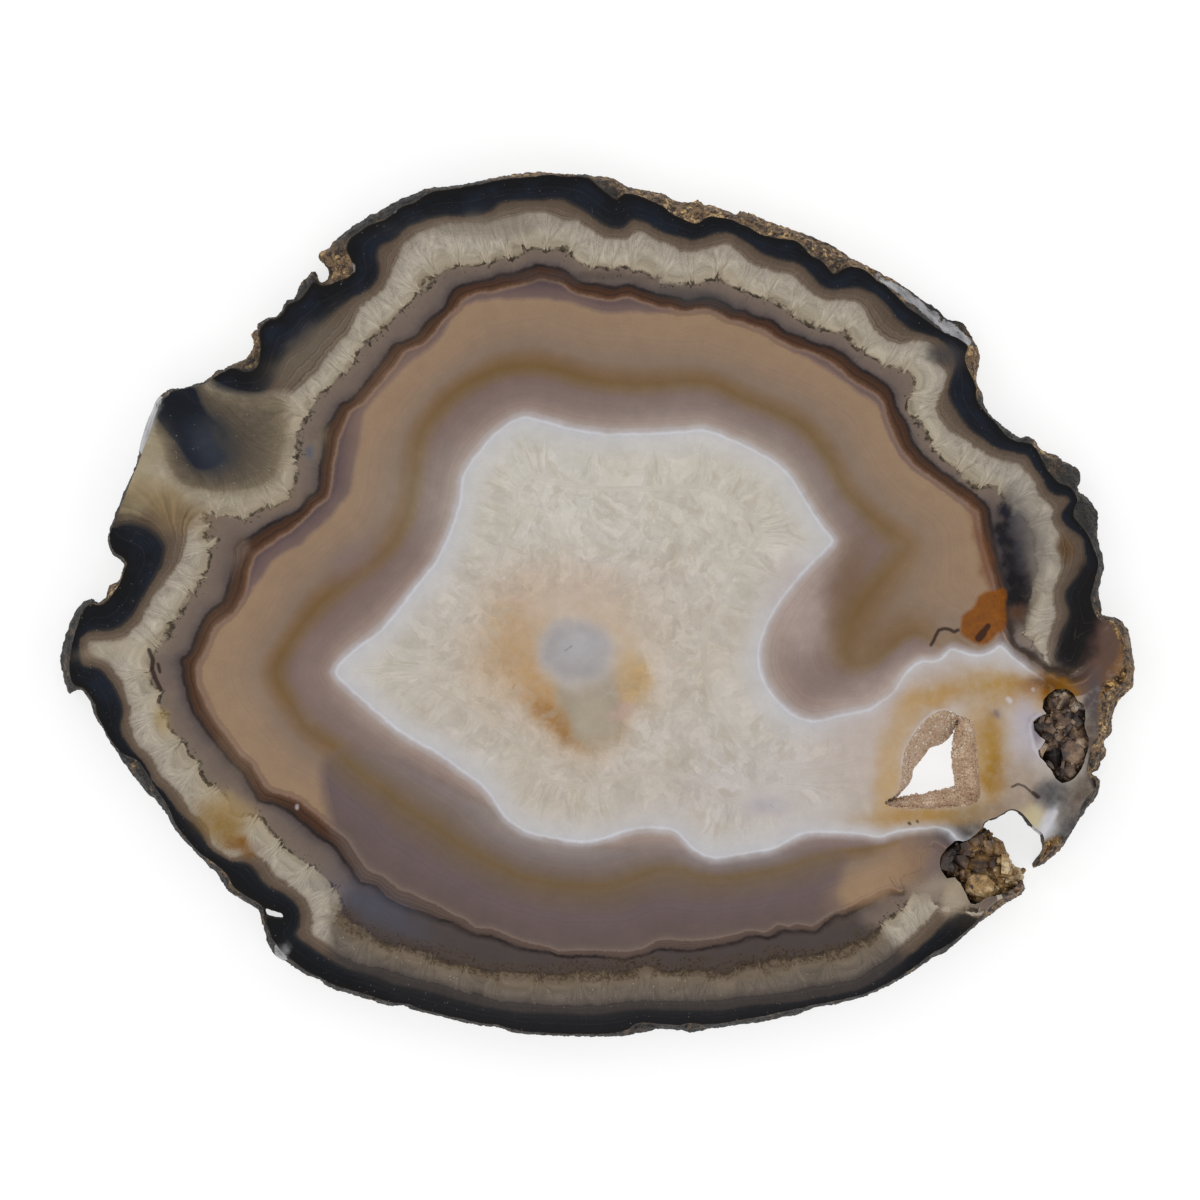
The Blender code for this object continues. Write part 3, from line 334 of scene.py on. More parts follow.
ORANGE_PATCH = (
    (996, 590), (985, 592), (978, 597), (975, 605), (970, 610), (962, 616), (961, 625), (961, 634),
    (968, 639), (974, 643), (980, 645), (987, 644), (993, 639), (998, 633), (1004, 631), (1006, 620),
    (1005, 604), (1007, 594), (1003, 588),
)
LOBE = (
    (212, 386), (236, 396), (260, 398), (278, 394), (292, 396), (303, 408), (308, 430), (306, 462), (298, 488),
    (284, 506), (258, 519), (228, 524), (202, 516), (182, 504), (160, 492), (140, 486), (118, 488), (110, 450),
    (140, 395), (172, 370), (198, 374),
)
# Where the lobe's grey brown ends and its pale ring begins.
HALO_EDGE = (
    (160, 446), (165, 460), (169, 470), (176, 480), (186, 487), (198, 490), (210, 492), (225, 493), (240, 492),
    (252, 490), (264, 486), (273, 480), (279, 470), (283, 458), (286, 443), (287, 428), (286, 414), (284, 402),
    (272, 396), (245, 397), (222, 393), (207, 387), (196, 376), (176, 380), (160, 394), (152, 412), (154, 430),
)
RIGHT_CRUST = (
    (1103, 610), (1112, 623), (1119, 638), (1124, 656), (1118, 674), (1104, 684), (1099, 700), (1100, 724),
    (1096, 742), (1093, 760), (1090, 778), (1095, 792), (1090, 806), (1082, 822), (1075, 840), (1068, 856),
    (1080, 880), (1160, 860), (1160, 600),
)
NOTCH_CRUST = (
    (1030, 878), (1028, 860), (1038, 847), (1050, 838), (1062, 836), (1071, 846), (1064, 868), (1048, 886),
)
# Soft stains on the upper face, and a few painted highlights on chip facets: centre, half lengths along and across,
# turn in degrees, colour, strength and crispness. Later ones lie over earlier ones.
STAINS_AND_HIGHLIGHTS = (
    # the upper left lobe, its pale ring and the gradient to the black lobe under it
    (142, 455, 26, 20, -60, (152, 140, 116), 0.8, 4),
    (150, 492, 34, 14, 10, (150, 134, 106), 0.85, 4),
    (176, 512, 30, 16, 20, (132, 112, 84), 0.7, 3.5),
    (128, 508, 18, 10, 0, (136, 124, 100), 0.7, 4),
    (210, 446, 16, 24, -30, (48, 52, 61), 1.0, 2.4),
    (226, 446, 6, 26, -30, (66, 62, 58), 0.7, 2.6),
    (178, 402, 18, 16, -40, (17, 20, 27), 0.9, 3),
    # the speckled grey brown under the upper left saddle
    (308, 352, 44, 16, -42, (106, 96, 84), 0.7, 3.5),
    (488, 226, 64, 10, -3, (122, 113, 101), 0.6, 3.5),
    # left rim
    (222, 824, 30, 17, 40, (138, 112, 70), 0.9, 4.0),
    (240, 846, 13, 8, 30, (122, 84, 42), 0.85, 3.5),
    (232, 806, 24, 12, 30, (164, 142, 106), 0.6, 3.5),
    (162, 722, 8, 14, -20, (160, 138, 96), 0.6, 3.5),
    (120, 650, 34, 8, -8, (168, 156, 136), 0.5, 3.5),
    # the core: a warm haze, orange stains and a blue grey eye
    (560, 277, 80, 5, 1, (68, 58, 55), 0.6, 3.0),
    (560, 500, 110, 56, 0, (203, 199, 189), 0.5, 2.5),
    (720, 500, 90, 60, 20, (204, 198, 186), 0.5, 2.5),
    (690, 640, 70, 90, 0, (192, 182, 168), 0.5, 2.5),
    (440, 668, 70, 50, -30, (194, 186, 174), 0.5, 2.5),
    (600, 790, 90, 40, 5, (188, 176, 160), 0.5, 2.5),
    (760, 790, 90, 44, -8, (194, 186, 184), 0.6, 2.5),
    (566, 655, 92, 84, 0, (196, 178, 162), 0.65, 2.5),
    (512, 640, 32, 54, 14, (184, 156, 124), 0.85, 2.4),
    (545, 700, 20, 48, -30, (182, 150, 112), 0.9, 3.0),
    (632, 678, 17, 28, -22, (188, 158, 114), 0.9, 4.0),
    (600, 636, 34, 48, -20, (194, 172, 146), 0.6, 3.0),
    (565, 592, 56, 22, 0, (196, 178, 164), 0.6, 3.0),
    (560, 724, 11, 30, -42, (150, 108, 64), 0.9, 3.0),
    (590, 702, 36, 52, -18, (176, 148, 112), 0.75, 6.0),
    (590, 700, 30, 46, -18, (160, 150, 136), 0.95, 7.0),
    (592, 714, 17, 28, -18, (178, 166, 148), 0.6, 3.0),
    (577, 652, 40, 35, 8, (192, 183, 176), 0.8, 8.0),
    (576, 651, 35, 30, 8, (162, 158, 159), 0.95, 8.0),
    (582, 646, 22, 16, 0, (178, 175, 177), 0.8, 3.5),
    (622, 712, 15, 8, -20, (188, 160, 150), 0.6, 4.0),
    (770, 806, 22, 10, 0, (176, 170, 176), 0.6, 4.0),
    # the tail round the cavity
    (880, 750, 60, 56, 0, (187, 173, 166), 0.85, 3.0),
    (930, 690, 50, 34, -30, (182, 168, 160), 0.85, 3.0),
    (1010, 720, 44, 60, 0, (184, 172, 164), 0.85, 3.0),
    (960, 806, 80, 26, 0, (172, 156, 142), 0.7, 3.0),
    (902, 726, 13, 36, 30, (186, 158, 122), 0.8, 2.6),
    (888, 784, 13, 34, 6, (186, 156, 114), 0.85, 2.6),
    (926, 818, 62, 11, -2, (168, 134, 84), 0.95, 2.6),
    (940, 695, 36, 12, -14, (176, 142, 94), 0.9, 2.6),
    (976, 742, 14, 46, 0, (180, 150, 112), 0.8, 2.6),
    (992, 754, 13, 46, 0, (162, 126, 64), 0.95, 2.6),
    (996, 776, 10, 20, 0, (150, 112, 48), 0.8, 2.6),
    (966, 815, 20, 10, -10, (144, 122, 92), 0.8, 3.0),
    (996, 713, 4, 4, 0, (112, 98, 106), 0.9, 3.0),
    (1026, 690, 48, 15, 10, (170, 134, 72), 0.95, 2.6),
    (1052, 689, 27, 11, 12, (134, 88, 24), 1.0, 3.0),
    (1046, 684, 16, 6, 12, (96, 62, 24), 0.9, 3.0),
    (1028, 732, 14, 34, -6, (180, 174, 184), 0.8, 3.0),
    (1038, 727, 8, 13, 8, (124, 114, 126), 0.85, 4.5),
    (1024, 786, 22, 26, 0, (158, 140, 124), 0.8, 3.0),
    (1054, 796, 18, 19, 0, (82, 80, 82), 1.0, 3.0),
    (1030, 818, 11, 12, -20, (196, 184, 146), 0.8, 4.0),
    # painted highlight: reflected light on the glassy chip by the notch
    (1048, 826, 6, 18, 22, (206, 208, 216), 0.7, 4.0),
    (1068, 832, 15, 30, 28, (70, 68, 72), 0.9, 4.0),
    (960, 834, 26, 10, -12, (78, 74, 74), 1.0, 3.5),
    (936, 862, 13, 22, -8, (112, 98, 97), 0.85, 3.0),
    (1000, 812, 24, 9, -14, (142, 124, 110), 0.7, 3.0),
    # the right tongue and the grey brown strip right of the pit
    (1100, 646, 16, 34, 24, (92, 68, 60), 0.92, 4.0),
    (1092, 638, 8, 24, 20, (58, 42, 40), 0.8, 3.5),
    (1112, 660, 15, 30, 20, (104, 76, 60), 0.95, 4.0),
    (1011, 624, 5, 26, -6, (50, 39, 34), 0.95, 4.0),
    (1026, 653, 17, 5, 30, (54, 42, 36), 0.95, 4.0),
    (1056, 672, 22, 5, 24, (50, 38, 32), 0.95, 4.0),
    (1082, 663, 15, 5, -42, (54, 42, 36), 0.9, 4.0),
    (1086, 612, 15, 50, 6, (17, 15, 16), 1.0, 5.0),
    (1070, 652, 14, 19, 20, (16, 13, 14), 1.0, 5.0),
    (1124, 660, 9, 30, 6, (134, 100, 66), 0.9, 4.0),
    (1112, 640, 12, 26, 12, (92, 74, 66), 0.9, 3.0),
    (1108, 690, 16, 16, 0, (108, 80, 60), 0.9, 4.0),
    (1096, 706, 11, 34, 0, (84, 76, 76), 1.0, 3.5),
    (1090, 742, 9, 26, 4, (96, 84, 76), 1.0, 3.5),
    (1084, 790, 14, 28, 20, (96, 84, 76), 0.95, 3.5),
    # right side: dark mottles, the olive spot and the black lobes
    (983, 556, 5, 46, -14, (112, 70, 44), 0.6, 3.0),
    (1036, 550, 13, 40, -6, (112, 106, 101), 0.75, 3.0),
    (1013, 546, 16, 44, -6, (54, 51, 56), 1.0, 4.0),
    (1020, 594, 12, 28, -4, (38, 34, 36), 1.0, 5.0),
    (1016, 500, 10, 24, -14, (112, 108, 108), 0.6, 2.5),
    (1002, 513, 7, 9, 0, (26, 25, 36), 1.0, 6.0),
    (1000, 529, 7, 8, 0, (18, 16, 22), 1.0, 6.0),
    (1005, 545, 8, 9, 0, (20, 18, 24), 1.0, 6.0),
    (1009, 562, 8, 9, 0, (24, 21, 26), 1.0, 6.0),
    (1013, 580, 8, 10, 0, (16, 13, 17), 1.0, 6.0),
    (1017, 598, 8, 11, 0, (18, 15, 18), 1.0, 6.0),
    (1018, 613, 8, 6, 0, (88, 62, 46), 0.8, 3.0),
    (1065, 550, 10, 13, 0, (92, 72, 52), 0.92, 6.0),
    (942, 356, 17, 12, 20, (66, 62, 62), 0.85, 3.5),
    (310, 452, 4, 6, 0, (74, 82, 100), 0.9, 4.0),
    (956, 892, 12, 13, 18, (176, 162, 138), 0.7, 3.5),
    # painted highlight on a glassy chip facet of the lower left rim
    (281, 951, 4, 6, 30, (150, 150, 152), 0.6, 3.0),
    # painted highlight on the bevelled glassy facet of the left edge
    (154, 418, 3, 16, 14, (150, 150, 150), 0.6, 3.0),
    (372, 905, 52, 15, 28, (80, 82, 96), 0.6, 2.5),
    (700, 299, 40, 8, 14, (62, 60, 60), 0.65, 3.0),
    (930, 890, 18, 10, -30, (150, 136, 124), 0.85, 3.5),
    (953, 902, 13, 9, -30, (164, 150, 134), 0.85, 3.5),
    (318, 440, 7, 20, 14, (128, 114, 98), 0.5, 3.0),
    (282, 503, 24, 6, -24, (126, 108, 90), 0.5, 3.0),
    (236, 552, 8, 22, 14, (114, 98, 88), 0.6, 3.0),
    # warm and mauve shifts inside the wide inner bands
    (240, 700, 26, 70, -10, (156, 134, 113), 0.35, 2.5),
    (390, 400, 26, 60, 35, (150, 126, 106), 0.3, 2.5),
    (800, 610, 26, 44, -12, (176, 160, 153), 0.8, 2.5),
    (930, 570, 34, 60, -15, (150, 127, 106), 0.4, 2.5),
    (846, 592, 15, 52, 14, (114, 88, 58), 0.6, 2.5),
    (312, 682, 16, 40, 0, (138, 120, 113), 0.5, 2.5),
    (352, 560, 26, 14, -35, (128, 112, 112), 0.55, 2.5),
    (878, 884, 40, 16, -20, (156, 131, 107), 0.85, 3.0),
    (905, 858, 24, 18, -20, (150, 124, 100), 0.7, 3.0),
)
# The colour of each band from rim to core, on the pale upper half and on the darker lower one.
UPPER_BANDS = (
    (1.00, (46, 38, 32)), (1.05, (13, 12, 13)), (1.30, (11, 12, 16)), (1.70, (14, 17, 24)), (1.90, (24, 26, 31)),
    (2.00, (50, 46, 44)), (2.10, (84, 71, 61)), (2.86, (106, 92, 80)), (2.98, (116, 104, 91)),
    (3.08, (158, 149, 137)), (3.55, (178, 170, 157)), (3.92, (168, 158, 142)),
    (4.04, (116, 104, 93)), (4.20, (118, 104, 94)), (4.62, (106, 94, 88)), (4.88, (82, 73, 72)), (4.97, (48, 41, 39)),
    (5.08, (50, 38, 33)), (5.35, (74, 50, 37)), (5.55, (62, 43, 34)), (5.78, (86, 60, 44)),
    (6.00, (118, 95, 82)),
    (6.12, (152, 128, 106)), (6.50, (144, 122, 104)), (6.74, (133, 115, 101)), (6.88, (124, 101, 80)),
    (7.00, (114, 90, 60)), (7.13, (118, 97, 76)), (7.30, (122, 103, 98)), (7.58, (127, 109, 104)),
    (7.78, (144, 125, 117)), (7.94, (164, 149, 143)),
)
LOWER_BANDS = (
    (1.00, (44, 37, 32)), (1.07, (20, 19, 21)), (1.70, (28, 28, 31)), (1.94, (38, 36, 37)), (2.05, (58, 53, 51)),
    (2.80, (66, 60, 57)), (3.00, (86, 78, 72)), (3.20, (104, 95, 87)), (3.70, (108, 98, 88)), (3.94, (88, 80, 72)),
    (4.03, (56, 49, 46)), (4.16, (72, 65, 63)), (4.80, (76, 67, 64)), (4.96, (54, 46, 44)), (5.06, (78, 64, 58)),
    (5.50, (90, 76, 69)), (5.90, (94, 79, 72)), (6.00, (112, 98, 91)), (6.10, (100, 86, 82)), (6.50, (105, 91, 91)),
    (6.82, (109, 93, 80)), (7.00, (114, 94, 70)), (7.18, (114, 98, 86)), (7.55, (124, 112, 110)),
    (7.86, (142, 130, 126)), (7.96, (156, 146, 142)),
)
FLOOR_DEPTH = 0.0001
GLOW = (192, 190, 194)
CORE = (198, 194, 190)
# A white floor lit by this much shows a colour at its own value.
EXPOSURE = 1.09


def srgb(colour):
    """The linear value of a colour given as it looks on a screen, from 0 to 255."""
    return tuple(
        (c / 255 / 12.92 if c < 10.3 else ((c / 255 + 0.055) / 1.055) ** 2.4) / EXPOSURE for c in colour
    )


def to_pixels(points):
    """Where points of the frame, in metres, lie in the photograph."""
    points = np.asarray(points, float)
    return points[:, :2] * (1, -1) / METRES_PER_PIXEL + PIXEL_CENTRE


def to_metres(pixels):
    return (np.asarray(pixels, float) - PIXEL_CENTRE) * (1, -1) * METRES_PER_PIXEL


def smooth(outline, steps=2):
    """A closed Catmull-Rom curve through the outline's points."""
    p = np.array(outline, float)
    a, c, d = np.roll(p, 1, 0), np.roll(p, -1, 0), np.roll(p, -2, 0)
    t = np.linspace(0, 1, steps, endpoint=False)[None, :, None]
    a, b, c, d = (q[:, None, :] for q in (a, p, c, d))
    curve = b + 0.5 * ((c - a) * t + (2 * a - 5 * b + 4 * c - d) * t**2 + (3 * b - a - 3 * c + d) * t**3)
    return curve.reshape(-1, 2)


def nearest(spots, a, b):
    """For each spot, the distance to the nearest of the segments a to b."""
    cuts = np.maximum(np.ceil(np.linalg.norm(b - a, axis=1) / 3), 1).astype(int)
    segment = np.repeat(np.arange(len(a)), cuts)
    place = np.concatenate([(np.arange(n) + 0.5) / n for n in cuts])
    samples = a[segment] + place[:, None] * (b - a)[segment]
    tree = kdtree.KDTree(len(samples))
    for i, (x, y) in enumerate(samples.tolist()):
        tree.insert((x, y, 0), i)
    tree.balance()
    hits = np.array([tree.find((x, y, 0))[1] for x, y in spots.tolist()])
    found = np.full(len(spots), np.inf)
    for shift in (-1, 0, 1):
        near = (segment[hits] + shift) % len(a)
        off, along = spots - a[near], (b - a)[near]
        t = np.clip((off * along).sum(1) / np.maximum((along**2).sum(1), 1e-9), 0, 1)
        found = np.minimum(found, np.linalg.norm(off - t[:, None] * along, axis=1))
    return found


def inside(spots, a, b):
    """Whether each spot is inside the closed loops whose segments go from a to b."""
    found = np.empty(len(spots), bool)
    rise = np.where(np.abs(b[:, 1] - a[:, 1]) < 1e-12, 1e-12, b[:, 1] - a[:, 1])
    slope = (b[:, 0] - a[:, 0]) / rise
    for start in range(0, len(spots), 4000):
        x, y = spots[start : start + 4000, 0:1], spots[start : start + 4000, 1:2]
        crossed = (a[:, 1] > y) != (b[:, 1] > y)
        found[start : start + 4000] = (crossed & (x < a[:, 0] + (y - a[:, 1]) * slope)).sum(1) % 2 == 1
    return found


def depth_in(spots, outline, steps=2):
    """The distance in pixels to a closed outline, positive inside it."""
    a = smooth(outline, steps) if steps > 1 else np.array(outline, float)
    b = np.roll(a, -1, 0)
    return np.where(inside(spots, a, b), 1, -1) * nearest(spots, a, b)


def stroke_depth(spots, strokes):
    """How deep each spot is inside the nearest of the open strokes, in pixels."""
    found = np.full(len(spots), -50.0)
    for line, half in strokes:
        line = np.array(line, float)
        middle = line.mean(0)
        near = np.abs(spots - middle).max(1) < np.abs(line - middle).max() + 50
        a, b = line[:-1], line[1:]
        off = spots[near][:, None, :] - a[None]
        along = b - a
        t = np.clip((off * along).sum(2) / (along**2).sum(1), 0, 1)
        gap = np.sqrt(((off - t[..., None] * along) ** 2).sum(2).min(1))
        found[near] = np.maximum(found[near], half - gap)
    return found


def flow_along(spots, outline):
    """A place on a circle as long as the outline, in mm, that turns smoothly along the outline."""
    curve = smooth(outline, 1)[::2]
    step = np.linalg.norm(np.roll(curve, -1, 0) - curve, axis=1)
    length = step.sum()
    angle = 2 * np.pi * (np.cumsum(step) - step) / length
    turn = np.stack([np.cos(angle), np.sin(angle)], 1)
    found = np.empty((len(spots), 2))
    for start in range(0, len(spots), 4000):
        off = spots[start : start + 4000, None, :] - curve[None]
        weight = 1 / ((off**2).sum(2) + 9.0) ** 4
        found[start : start + 4000] = weight @ turn
    found /= np.linalg.norm(found, axis=1, keepdims=True)
    return found * length * MM_PER_PIXEL / (2 * np.pi)


def pushed(spots, reach, scale, seed):
    """The spots moved about by smooth noise."""
    moved = np.empty_like(spots)
    for i, (x, y) in enumerate(spots.tolist()):
        here = Vector((x * scale, y * scale, seed))
        push = noise.noise_vector(here) + 0.5 * noise.noise_vector(here * 2.3)
        moved[i] = (x + reach * push.x, y + reach * push.y)
    return moved


def stains_and_highlights_at(spots):
    """The colour and strength of the soft stains and painted highlights at each spot."""
    spots = pushed(spots, 5.0, 0.05, 3.0)
    colour = np.zeros((len(spots), 3))
    strength = np.zeros(len(spots))
    for x, y, long, wide, turn, tint, most, crisp in STAINS_AND_HIGHLIGHTS:
        c, s = math.cos(math.radians(turn)), math.sin(math.radians(turn))
        off = spots - (x, y)
        u, v = (off[:, 0] * c + off[:, 1] * s) / long, (off[:, 1] * c - off[:, 0] * s) / wide
        mask = most / (1 + np.exp(np.minimum(crisp * 1.4 * (np.hypot(u, v) - 1), 60)))
        total = mask + strength * (1 - mask)
        share = np.where(total > 1e-6, mask / np.maximum(total, 1e-6), 0)[:, None]
        colour = colour * (1 - share) + np.array(srgb(tint)) * share
        strength = total
    return np.column_stack([colour, strength])


def halved(points, faces, longest):
    """The triangles with every edge longer than this cut in half."""
    ends = np.sort(faces[:, ((0, 1), (1, 2), (2, 0))].reshape(-1, 2), axis=1)
    edges, of_corner = np.unique(ends, axis=0, return_inverse=True)
    marked = np.linalg.norm(points[edges[:, 0]] - points[edges[:, 1]], axis=1) > longest
    middle = np.full(len(edges), -1)
    middle[marked] = len(points) + np.arange(marked.sum())
    points = np.concatenate([points, points[edges[marked]].mean(1)])
    cuts = middle[of_corner.reshape(-1, 3)]
    made = []
    for count, first in ((0, (0,)), (1, (0, 1, 2)), (2, (0, 1, 2)), (3, (0,))):
        for turn in first:
            corners, cut = np.roll(faces, -turn, 1), np.roll(cuts, -turn, 1)
            here = (cut >= 0).sum(1) == count
            if count == 1:
                here &= cut[:, 0] >= 0
            if count == 2:
                here &= cut[:, 2] < 0
            (p, q, r), (u, v, w) = corners[here].T, cut[here].T
            pieces = {
                0: ((p, q, r),),
                1: ((p, u, r), (u, q, r)),
                2: ((p, u, r), (u, q, v), (u, v, r)),
                3: ((p, u, w), (u, q, v), (w, v, r), (u, v, w)),
            }[count]
            made += [np.stack(piece, 1) for piece in pieces]
    return points, np.concatenate(made), bool(marked.any())


def walls_of(node):
    """The node's points and triangles with its two sawn faces taken off and the rest cut fine."""
    mesh = bmesh.new()
    mesh.from_mesh(node.data)
    bmesh.ops.remove_doubles(mesh, verts=mesh.verts, dist=1e-7)
    bmesh.ops.triangulate(mesh, faces=mesh.faces)
    points = np.array([tuple(v.co) for v in mesh.verts])
    faces = np.array([[v.index for v in f.verts] for f in mesh.faces])
    mesh.free()
    heights = points[faces][:, :, 2]
    cap = (heights.min(1) > TOP - 1e-5) | (heights.max(1) < 1e-5)
    faces = faces[~cap]
    used, index = np.unique(faces, return_inverse=True)
    points, faces, more = points[used], index.reshape(-1, 3), True
    while more:
        points, faces, more = halved(points, faces, WALL_EDGE)
    return points, faces


def rows_of(low, high, spacing):
    """Points in staggered rows over a rectangle."""
    rows = []
    for r, y in enumerate(np.arange(low[1], high[1], spacing * 0.866)):
        xs = np.arange(low[0], high[0], spacing) + (r % 2) * spacing / 2
        rows.append(np.stack([xs, np.full(len(xs), y)], 1))
    return np.concatenate(rows)


def sheet(points, loop_edges, spacing, strokes=()):
    """Triangles that fill the loops, over the loops' points and new ones, closer near the strokes."""
    used = sorted({i for edge in loop_edges for i in edge})
    index = {v: i for i, v in enumerate(used)}
    rim = points[used]
    edges = [(index[a], index[b]) for a, b in loop_edges]
    a = rim[[e[0] for e in edges]]
    b = rim[[e[1] for e in edges]]
    low, high = rim.min(0), rim.max(0)
    grid = rows_of(low, high, spacing)
    if strokes:
        grid = grid[stroke_depth(grid, strokes) < -STROKE_MARGIN]
    for line, half in strokes:
        reach = half + STROKE_MARGIN
        near = rows_of(np.min(line, 0) - reach, np.max(line, 0) + reach, STROKE_SPACING)
        grid = np.concatenate([grid, near[stroke_depth(near, ((line, half),)) > -STROKE_MARGIN]])
    grid = grid[inside(grid, a, b)]
    grid = grid[nearest(grid, a, b) > spacing * 0.45]
    spots = [Vector(p) for p in np.concatenate([rim, grid]).tolist()]
    made = geometry.delaunay_2d_cdt(spots, edges, [], 1, 1e-7)
    places = np.array([tuple(v) for v in made[0]])
    faces = np.array([f for f in made[2] if len(f) == 3])
    p, q, r = places[faces].transpose(1, 0, 2)
    sliver = np.abs(np.cross(q - p, r - p)) < 1e-3
    faces = faces[sliver | inside((p + q + r) / 3, a, b)]
    source = np.array([min(o) for o in made[3]])
    return used, grid, source[faces]


def rim_of(points, faces, height):
    """The open edges at this height, as pairs of point numbers."""
    ends = np.sort(faces[:, ((0, 1), (1, 2), (2, 0))].reshape(-1, 2), axis=1)
    edges, count = np.unique(ends, axis=0, return_counts=True)
    here = (count == 1) & (np.abs(points[edges[:, 0], 2] - height) < 1e-5)
    return edges[here].tolist()


def slab_mesh(node):
    """Points and faces of the whole slab, with each face's part, and the upper rim's edges."""
    points, walls = walls_of(node)
    faces = walls.tolist()
    parts = [WALL] * len(faces)
    wall_count = len(points)
    strokes = DARK_STROKES + PAINTED_HIGHLIGHT_STROKES
    for height, spacing, part in ((TOP, UPPER_SPACING, UPPER), (0.0, LOWER_SPACING, LOWER)):
        loops = rim_of(points, walls, height)
        used, grid, made = sheet(to_pixels(points), loops, spacing, strokes if part == UPPER else ())
        numbers = np.concatenate([np.array(used), len(points) + np.arange(len(grid))])
        new = np.column_stack([to_metres(grid), np.full(len(grid), height)])
        points = np.concatenate([points, new])
        made = numbers[made]
        flat = points[made][:, :, :2]
        turn = np.cross(flat[:, 1] - flat[:, 0], flat[:, 2] - flat[:, 0])
        wrong = turn < 0 if part == UPPER else turn > 0
        made[wrong] = made[wrong][:, ::-1]
        faces += made.tolist()
        parts += [part] * len(made)
        if part == UPPER:
            upper_loops = loops
    return points, faces, np.array(parts), wall_count, upper_loops


class Look:
    """A material and the nodes that colour it."""

    def __init__(self, name):
        self.material = bpy.data.materials.new(name)
        self.material.use_nodes = True
        self.tree = self.material.node_tree
        self.surface = self.tree.nodes["Principled BSDF"]
        place = self.node("ShaderNodeTexCoord").outputs["Object"]
        self.place = self.vector("SCALE", place, scale=1000)

    def node(self, kind, **settings):
        made = self.tree.nodes.new(kind)
        for key, value in settings.items():
            setattr(made, key, value)
        return made

    def feed(self, socket, value):
        if isinstance(value, bpy.types.NodeSocket):
            self.tree.links.new(value, socket)
        elif value is not None:
            if isinstance(value, tuple) and len(value) == 3 and socket.type == "RGBA":
                value = (*srgb(value), 1)
            socket.default_value = value

    def value(self, name):
        return self.node("ShaderNodeAttribute", attribute_name=name).outputs["Fac"]

    def direction(self, name):
        return self.node("ShaderNodeAttribute", attribute_name=name).outputs["Vector"]

    def math(self, operation, a, b=None, c=None, clamp=False):
        made = self.node("ShaderNodeMath", operation=operation, use_clamp=clamp)
        for socket, value in zip(made.inputs, (a, b, c)):
            self.feed(socket, value)
        return made.outputs[0]

    def vector(self, operation, a, b=None, scale=None):
        made = self.node("ShaderNodeVectorMath", operation=operation)
        self.feed(made.inputs[0], a)
        if scale is None:
            self.feed(made.inputs[1], b)
        else:
            self.feed(made.inputs["Scale"], scale)
        return made.outputs[0]

    def combined(self, x, y, z):
        made = self.node("ShaderNodeCombineXYZ")
        for socket, value in zip(made.inputs, (x, y, z)):
            self.feed(socket, value)
        return made.outputs[0]

    def noise(self, scale, vector=None, detail=3.0, roughness=0.5, distortion=0.0):
        made = self.node("ShaderNodeTexNoise")
        self.feed(made.inputs["Vector"], vector or self.place)
        self.feed(made.inputs["Scale"], scale)
        self.feed(made.inputs["Detail"], detail)
        self.feed(made.inputs["Roughness"], roughness)
        self.feed(made.inputs["Distortion"], distortion)
        return made.outputs["Fac"]

    def cells(self, scale, vector=None, feature="F1", output="Distance"):
        made = self.node("ShaderNodeTexVoronoi", feature=feature)
        self.feed(made.inputs["Vector"], vector or self.place)
        self.feed(made.inputs["Scale"], scale)
        return made.outputs[output]

    def span(self, value, low, high, to_low=0.0, to_high=1.0):
        """The value carried from one span to another, and held at its ends."""
        made = self.node("ShaderNodeMapRange", clamp=True)
        for socket, number in zip(made.inputs, (value, low, high, to_low, to_high)):
            self.feed(socket, number)
        return made.outputs[0]

    def ramp(self, value, stops, ease="LINEAR"):
        made = self.node("ShaderNodeValToRGB")
        made.color_ramp.interpolation = ease
        elements = made.color_ramp.elements
        while len(elements) < len(stops):
            elements.new(0.5)
        for element, (place, colour) in zip(elements, stops):
            element.position = place
            element.color = (*srgb(colour), 1)
        self.feed(made.inputs["Fac"], value)
        return made.outputs["Color"]

    def mix(self, share, a, b, blend="MIX"):
        made = self.node("ShaderNodeMix", data_type="RGBA", blend_type=blend)
        self.feed(made.inputs[0], share)
        self.feed(made.inputs[6], a)
        self.feed(made.inputs[7], b)
        return made.outputs[2]

    def mix_value(self, share, a, b):
        made = self.node("ShaderNodeMix", data_type="FLOAT")
        self.feed(made.inputs[0], share)
        self.feed(made.inputs[2], a)
        self.feed(made.inputs[3], b)
        return made.outputs[0]

    def push(self, scale, reach):
        """A direction in mm that wanders with the place."""
        made = self.node("ShaderNodeTexNoise")
        self.feed(made.inputs["Vector"], self.place)
        self.feed(made.inputs["Scale"], scale)
        self.feed(made.inputs["Detail"], 3.0)
        return self.vector("SCALE", self.vector("SUBTRACT", made.outputs["Color"], (0.5, 0.5, 0.5)), scale=reach)

    def grey(self, colour):
        made = self.node("ShaderNodeSeparateColor")
        self.feed(made.inputs[0], colour)
        return made.outputs[0]

    def east(self):
        """How far along the slice's length a point is, in mm."""
        made = self.node("ShaderNodeSeparateXYZ")
        self.feed(made.inputs[0], self.place)
        return made.outputs[0]

    def turned(self, vector, angle):
        made = self.node("ShaderNodeVectorRotate", rotation_type="Z_AXIS")
        self.feed(made.inputs["Vector"], vector)
        self.feed(made.inputs["Angle"], angle)
        return made.outputs[0]

    def mix_vector(self, share, a, b):
        made = self.node("ShaderNodeMix", data_type="VECTOR")
        self.feed(made.inputs[0], share)
        self.feed(made.inputs[4], a)
        self.feed(made.inputs[5], b)
        return made.outputs[1]

    def shaded(self, colour, factor):
        """The colour made lighter or darker by a factor."""
        made = self.node("ShaderNodeVectorMath", operation="SCALE")
        self.feed(made.inputs[0], colour)
        self.feed(made.inputs["Scale"], factor)
        return made.outputs[0]

